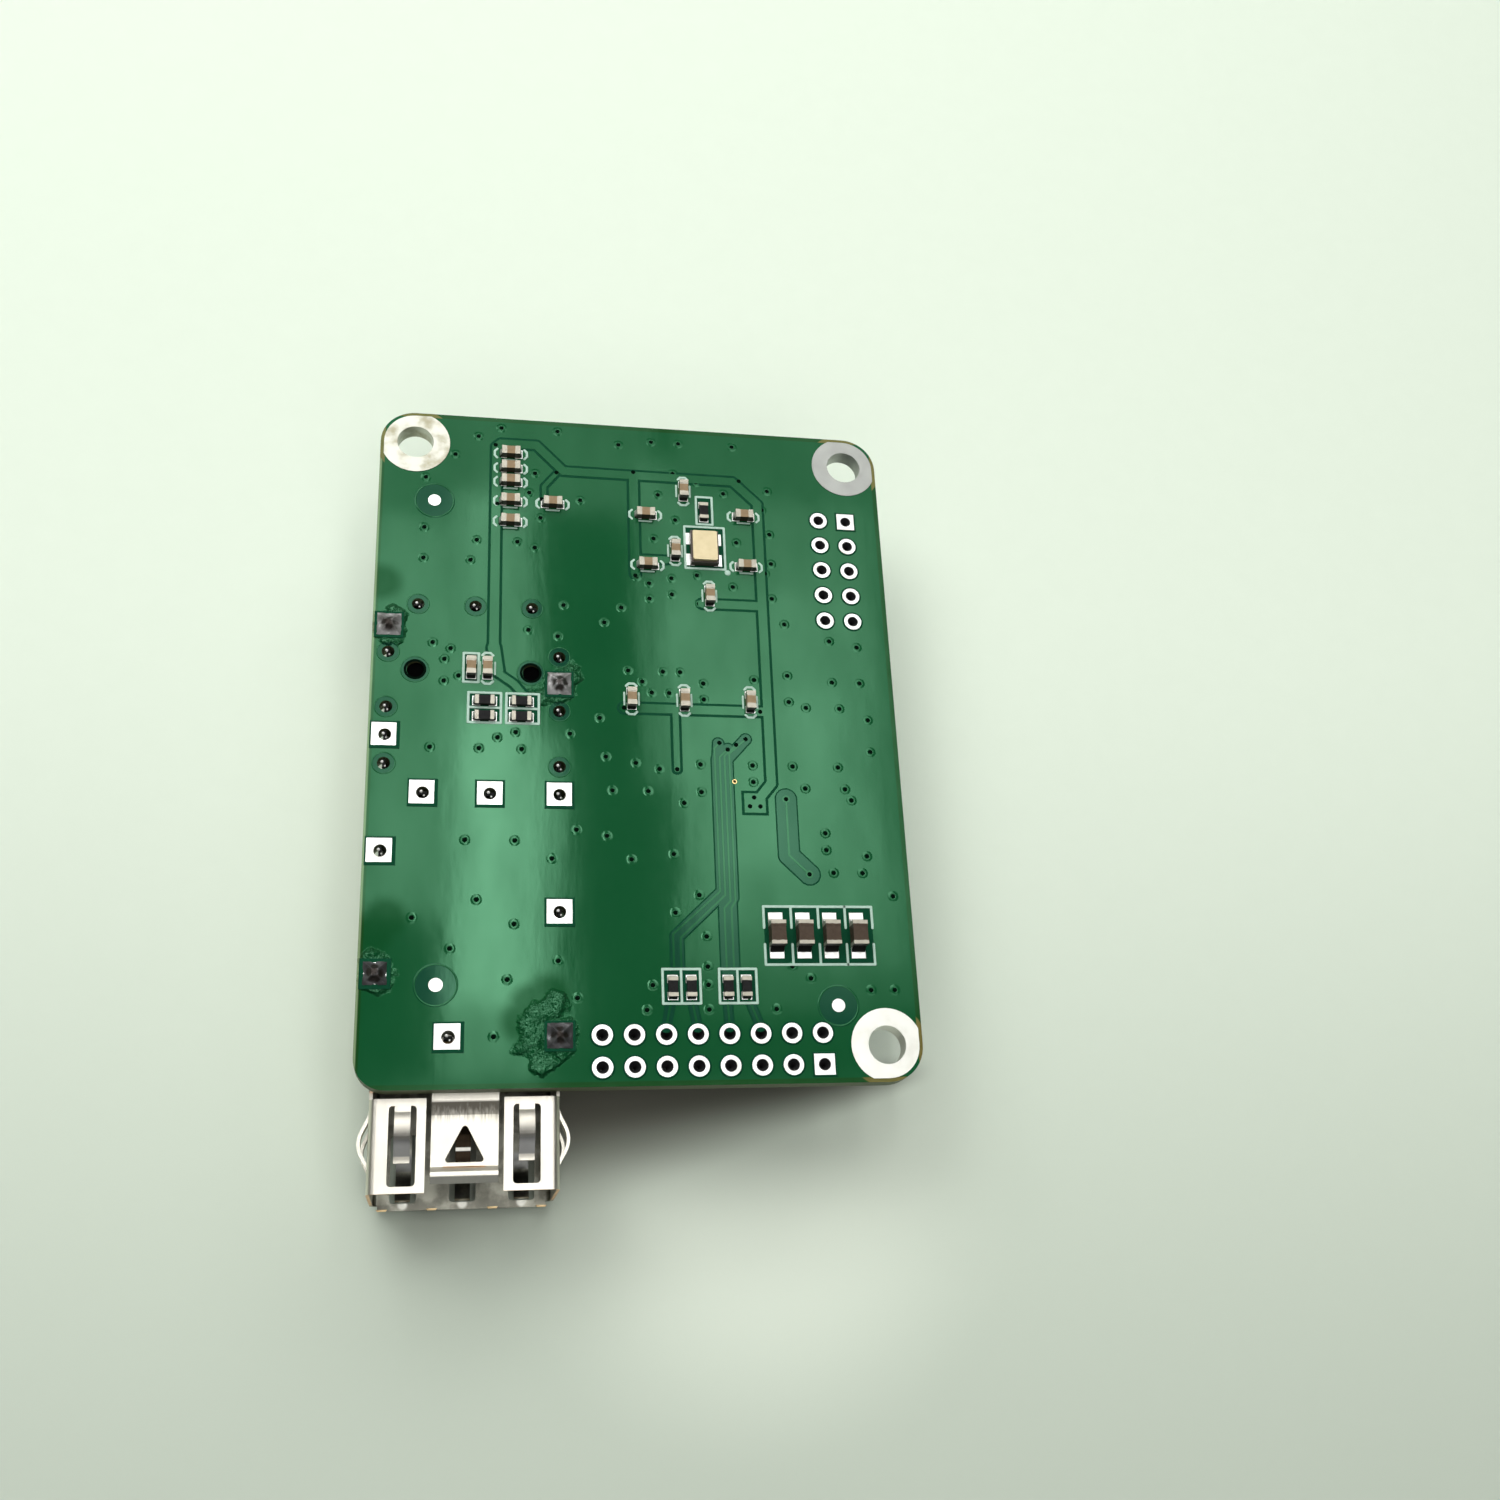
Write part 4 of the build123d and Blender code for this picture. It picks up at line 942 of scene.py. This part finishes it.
# %% Solder mounds, in place of the plain CAD ones
lumps = bpy.data.textures.new("solder_lumps", "CLOUDS")
lumps.noise_scale = 0.5 * MM
lumps.noise_depth = 2
piece = start_piece()
for x, y in mounds:
    size = 1.86 if (x, y) == (LEFT_PINS, 6) else 2.02
    middle = Vector((x, y + 0.03, 0)) * MM
    bpy.ops.mesh.primitive_cone_add(
        vertices=4,
        radius1=size / math.sqrt(2) * MM,
        radius2=0.4 * MM,
        depth=0.55 * MM,
        location=middle + Vector((0, 0, 0.33 * MM)),
        rotation=(0, 0, math.pi / 4),
    )
    bpy.ops.mesh.subdivide(number_cuts=9)
    for side in (Vector((1, 0)), Vector((-1, 0)), Vector((0, 1)), Vector((0, -1))):
        hollow = middle.xy + side * 0.6 * MM
        select_where(lambda place: (place.xy - hollow).length < 0.18 * MM and place.z > 0.1 * MM)
        bpy.ops.transform.translate(
            value=(0, 0, -0.11 * MM),
            use_proportional_edit=True,
            proportional_edit_falloff="SMOOTH",
            proportional_size=0.4 * MM,
            use_proportional_connected=True,
        )
bpy.ops.object.mode_set(mode="OBJECT")
displace = piece.modifiers.new("lumps", "DISPLACE")
displace.texture = lumps
displace.strength = 0.16 * MM
displace.mid_level = 0.5
displace.direction = "Z"
bpy.ops.object.modifier_apply(modifier="lumps")
end_piece(piece, "solder_mounds", solder_finish, 50)
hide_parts("solder_joints")

# %% Painted glints: bright beads on the cropped pin ends, which the left mounds hide
piece = start_piece()
for x, y in PLAIN_PINS + SQUARE_PADS:
    if x < CAGE_MIDDLE or not is_soldered(x, y):
        for dx, dy, size in ((-0.12, 0.16, 0.13), (0.12, -0.2, 0.08)):
            bpy.ops.mesh.primitive_uv_sphere_add(
                segments=10, ring_count=6, radius=size * MM, location=Vector((x + dx, y + dy, -0.15)) * MM
            )
end_piece(piece, "pin_glint_beads", glint_bead_finish, 60)

# %% [markdown]
# ## Solder at the chip parts
#
# Each end of a chip part sits on a tinned pad, and a small fillet of solder runs from the pad up the end
# face. The fillet is a block whose outer top edge is pulled down to the pad, rounded by a bevel. The bulk
# capacitors have longer pads that show bright past both ends.

# %% Pads under the chip parts
def chip_ends(node):
    """The two end places of a chip, each with the angle that points away from the chip."""
    low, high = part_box(node)
    middle = (low + high) / 2 / MM
    if lies_along_y(node):
        return ((middle.x, high.y / MM, 90), (middle.x, low.y / MM, -90))
    return ((high.x / MM, middle.y, 0), (low.x / MM, middle.y, 180))


small_ends = [end for node in level_chips + turned_chips for end in chip_ends(node)]
bulk_ends = [end for node in bulk_chips for end in chip_ends(node)]
for name, ends, plate, top in (
    ("chip_pads", small_ends, (-0.45, -0.44, 0.24, 0.44), 0.03),
    ("bulk_pads", bulk_ends, (-0.5, -0.62, 0.96, 0.62), 0.04),
):
    piece = start_piece()
    slab(*plate, 0.0, top, top)
    end_piece(copies(piece, ends), name, tin_finish)

# %% Solder fillets
def fillet_block(reach, half_width, height):
    """A wedge of solder against an end face at x = 0."""
    start = start_piece()
    bpy.ops.mesh.primitive_cube_add(
        size=1,
        location=(reach / 2 * MM, 0, height / 2 * MM),
        scale=(reach * MM, 2 * half_width * MM, height * MM),
    )
    keep_selected(lambda place: place.x > reach / 2 * MM and place.z > height / 2 * MM)
    bpy.ops.transform.translate(value=(-reach * 0.35 * MM, 0, -height * 0.72 * MM))
    bpy.ops.mesh.select_all(action="SELECT")
    bpy.ops.mesh.bevel(offset=0.05 * MM, segments=2)
    return start


fillets = copies(fillet_block(0.2, 0.36, 0.35), small_ends)
end_piece(fillets, "chip_fillets", fillet_finish, 60)
fillets = copies(fillet_block(0.45, 0.58, 0.6), bulk_ends)
end_piece(fillets, "bulk_fillets", fillet_finish, 60)

# %% Pads under the oscillator
low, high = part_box("oscillator_base")
piece = start_piece()
for x in (low.x / MM, high.x / MM):
    for y in (low.y / MM + 0.55, high.y / MM - 0.55):
        slab(x - 0.38, y - 0.6, x + 0.38, y + 0.6, 0, 0.05)
end_piece(piece, "oscillator_pads", tin_finish)

# %% [markdown]
# ## Print on the board
#
# The print marks where parts go: a bracket at both ends of a small capacitor with a line along each side,
# boxes round resistors, a ladder round the bulk capacitors, and a frame with a dot at one corner for the
# oscillator. It is drawn with the same strips as the tracks, standing a little proud.

# %% Print lines
INK_TOP, INK_WIDTH = 0.035, 0.23


def ink(*points, width=INK_WIDTH):
    route(points, width, 0, INK_TOP, 0.02)


def ink_box(x0, y0, x1, y1):
    ink((x0, y0), (x1, y0), (x1, y1), (x0, y1), (x0, y0))


piece = start_piece()
for x0, x1 in ((-18.2, -16.7), (-16.7, -15.15), (-13.6, -12.1), (-12.1, -10.55)):
    ink_box(x0, 3.5, x1, 6.3)
for x0, y0, x1, y1 in RESISTOR_BOXES[:2]:
    ink_box(x0, y0, x1, (y0 + y1) / 2)
    ink_box(x0, (y0 + y1) / 2, x1, y1)
for box in (RESISTOR_BOXES[-1], *PART_BOXES[:2]):
    ink_box(*box)
strip((-11.4, 42.4), (-11.4, 42.4), 0.55, 0, INK_TOP, 0.03)
for y in (6.65, 11.55):
    ink((-9.7, y), (-0.5, y))
for x in (-9.7, -7.4, -5.1, -2.8, -0.5):
    for y0, y1 in ((6.65, 8.35), (9.75, 11.55)):
        ink((x, y0), (x, y1))

# %% Brackets round the small capacitors
BRACKET_REACH, BRACKET_HALF, SIDE_LINE = 1.42, 0.33, 0.62
framed = ("capacitor_17",)
small_capacitors = [node for node in level_chips + turned_chips if node.startswith("capacitor_")]
bracketed = [node for node in small_capacitors if node not in framed]
for node in bracketed:
    low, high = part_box(node)
    middle = (low + high) / 2 / MM
    across = lies_along_y(node)

    def on_board(along, side):
        return (middle.x - side, middle.y + along) if across else (middle.x + along, middle.y + side)

    for end in (-1, 1):
        ink(
            on_board(end * (BRACKET_REACH - 0.22), -BRACKET_HALF - 0.12),
            on_board(end * BRACKET_REACH, -BRACKET_HALF + 0.1),
            on_board(end * BRACKET_REACH, BRACKET_HALF - 0.1),
            on_board(end * (BRACKET_REACH - 0.22), BRACKET_HALF + 0.12),
        )
        side = end * SIDE_LINE
        ink(on_board(-0.55, side), on_board(0.55, side), width=INK_WIDTH * 0.8)
end_piece(piece, "print_lines", print_finish, 60)

# %% [markdown]
# ## Small remains of making
#
# The cage comes off its carrier strip, and each place where it was cut away leaves a warm, flattened nib on
# the front edge of the far wall. The two fingers nearest the eye bow a little more than the plain ones, so
# each has a thin facing of its own.

# %% Carrier nibs on the cage
piece = start_piece()
for dx in (-6.3, -2.4, 2.4, 6.3):
    spot = Vector((CAGE_MIDDLE + dx, cage_low.y / MM + 0.02, cage_low.z / MM + 1.3))
    bpy.ops.mesh.primitive_cube_add(size=1, location=spot * MM, scale=(0.9 * MM, 0.16 * MM, 0.2 * MM))
    keep_selected(lambda place: place.y < spot.y * MM)
    bpy.ops.transform.resize(value=(0.75, 1, 0.6), center_override=spot * MM)
    bpy.ops.mesh.select_linked()
    bpy.ops.mesh.bevel(offset=0.03 * MM, segments=2)
end_piece(piece, "carrier_nibs", copper_finish, 50)

# %% Facings of the two spring fingers on top
FINGER_FACE = ((-4.35, 0.03), (-5.8, 0.66), (-6.1, 0.76), (-6.4, 0.7), (-7.6, -0.27), (-8.15, -0.33))
piece = start_piece()
for x in TOP_FINGERS:
    (y, z), *rest = FINGER_FACE
    bpy.ops.mesh.primitive_plane_add(
        size=1, location=Vector((x, y, UNDERSIDE + z)) * MM, rotation=(math.pi / 2, 0, 0)
    )
    bpy.ops.transform.resize(value=(1.2 * MM, 1, 0.06 * MM))
    for next_y, next_z in rest:
        run = (0, (next_y - y) * MM, (next_z - z) * MM)
        bpy.ops.mesh.extrude_region_move(TRANSFORM_OT_translate={"value": run})
        y, z = next_y, next_z
end_piece(piece, "finger_faces", nickel_finish, 50)

# %% [markdown]
# ## Floor and light
#
# The board stands on a plain pale sheet. Painted shade darkens the sheet in front, a shadow is painted along
# the board's front edge, and a pool of light is painted just in front of the board. Two rows of soft lamps
# hang overhead and show as two pale bands in the green mask. Each row is a few lamps of different sizes,
# one a little below the other, so the bands have soft edges. Lamps at the rear and the left give the main
# light, so faces towards the viewer are in shade. The room is pale to the eye, but it lights the board only
# weakly, which keeps the green deep between the bands.

# %% Floor
PALE = (0.82, 0.91, 0.79)


def pale_sheet():
    """The floor's finish."""
    made = new_finish("pale_sheet", (0.8, 0.9, 0.755), 0.85)
    across, along, _ = axes(made)
    colour = mix(made, noise(made, 400, 3), (0.8, 0.895, 0.755), (0.78, 0.875, 0.735))
    # Painted shade: the sheet is darker towards the front
    floor_front_shade = product(made, step(made, along, 0.05, -0.06), step(made, along, -0.13, -0.05))
    colour = mix(made, floor_front_shade, colour, (0.52, 0.585, 0.49))
    # A pool of light is painted on the sheet in front of the board
    painted_light_pool = step(made, nearest(made, ((-9, -8),)), 25 * MM, 5 * MM)
    colour = mix(made, painted_light_pool, colour, (0.86, 0.94, 0.8))

    # A shadow painted under the front edge narrows from the cage to the board's right side
    from_shadow_edge = sums(made, "MULTIPLY_ADD", across, -0.241, sums(made, "ADD", along, 2.2 * MM))
    width = sums(made, "MULTIPLY_ADD", across, -0.085, 1.25 * MM)
    width = sums(made, "MAXIMUM", width, 0.8 * MM)
    painted_shadow = product(
        made,
        step(made, sums(made, "DIVIDE", from_shadow_edge, width), -1.3, 1.5),
        step(made, across, -40 * MM, -36 * MM),
        step(made, across, 8 * MM, 3 * MM),
        step(made, along, 1.5 * MM, -1.0 * MM),
    )
    colour = mix(made, painted_shadow, colour, (0.16, 0.155, 0.125))

    # Far out the sheet fades into the pale room
    far = step(made, nearest(made, ((-20, 50),)), 0.15, 0.25)
    far = product(made, far, add(made, "LightPath", {}).outputs["Is Camera Ray"])
    paint(made, far, colour, (0, 0, 0))
    feed(made, "Emission Color", (*PALE, 1))
    feed(made, "Emission Strength", far)
    feed(made, "Specular IOR Level", sums(made, "MULTIPLY_ADD", far, -0.5, 0.5))
    return made


bpy.ops.object.select_all(action="DESELECT")
bpy.ops.mesh.primitive_circle_add(vertices=64, radius=3, fill_type="NGON", location=(0, 0, cad_box[0].z))
floor = bpy.context.object
floor.name = "pale_floor"
floor.data.materials.append(pale_sheet())

# %% Lamps
def soft_lamp(name, place, target, size, depth, glow):
    """A rectangular area lamp at a place, turned to face a target; all in metres."""
    bpy.ops.object.light_add(type="AREA", location=place)
    lamp = bpy.context.object
    lamp.name = name
    lamp.data.shape = "RECTANGLE"
    lamp.data.size, lamp.data.size_y = size, depth
    lamp.data.energy = 4 * glow * size * depth
    lamp.rotation_euler = (Vector(target) - Vector(place)).to_track_quat("-Z", "Y").to_euler()
    return lamp


# The overhead lamps face straight down, each over a rectangle in millimetres. Each hangs a little lower than
# the last, so that a mirror sees all of them where they overlap.
OVERHEAD = (
    ("left_band", -36, 68, -6, 285, 3.3),
    ("left_band_flare", -6, 78, 4, 188, 3.0),
    ("left_band_core", -33, 92, -5, 200, 3.6),
    ("left_band_edge", -68, 122, -36, 275, 2.8),
    ("right_band_rear", 32, 170, 46, 300, 1.9),
    ("right_band", 46, 88, 130, 340, 0.9),
    ("right_band_middle", 44, 103, 124, 285, 1.1),
    ("right_band_inner", 42, 119, 114, 245, 1.1),
    ("right_band_core", 48, 138, 102, 205, 0.95),
    ("rear_glow", -74, 275, 36, 350, 1.2),
    ("over_the_cage", -62, -110, 2, 60, 3.2),
    ("over_front", 10, -180, 160, 60, 1.6),
    ("over_left", -260, 40, -90, 250, 0.3),
)
for hook, (name, x0, y0, x1, y1, glow) in enumerate(OVERHEAD):
    place = Vector(((x0 + x1) / 2, (y0 + y1) / 2, 402 - hook)) * MM
    lamp = soft_lamp(name, place, place - Vector((0, 0, 1)), (x1 - x0) * MM, (y1 - y0) * MM, glow)
    lamp.rotation_euler = (0, 0, 0)
soft_lamp("front_card", (-0.03, -0.33, 0.31), (-0.033, -0.006, 0), 0.5, 0.2, 1.0)
OBJECT_MIDDLE = (-0.02, 0.024, 0)
soft_lamp("left_window", (-0.26, 0.3, 0.38), OBJECT_MIDDLE, 0.33, 0.26, 4.0)
soft_lamp("rear_wall", (0.05, 0.5, 0.33), OBJECT_MIDDLE, 0.6, 0.2, 2.4)

# %% Room
room = bpy.data.worlds.new("pale_room")
bpy.context.scene.world = room
room.use_nodes = True
SOFT, DIM = (0.3, 0.33, 0.29), (0.02, 0.022, 0.02)
_, rearwards, upright = axes(room, "Generated")
room_light = mix(room, step(room, upright, 0.1, 0.65), SOFT, DIM)
room_light = mix(room, step(room, rearwards, 0.1, -0.4), room_light, DIM)
seen_directly = add(room, "LightPath", {}).outputs["Is Camera Ray"]
room_light = mix(room, seen_directly, room_light, PALE)
plug(room, room.node_tree.nodes["Background"].inputs[0], room_light)

bpy.context.scene.view_settings.view_transform = "Standard"
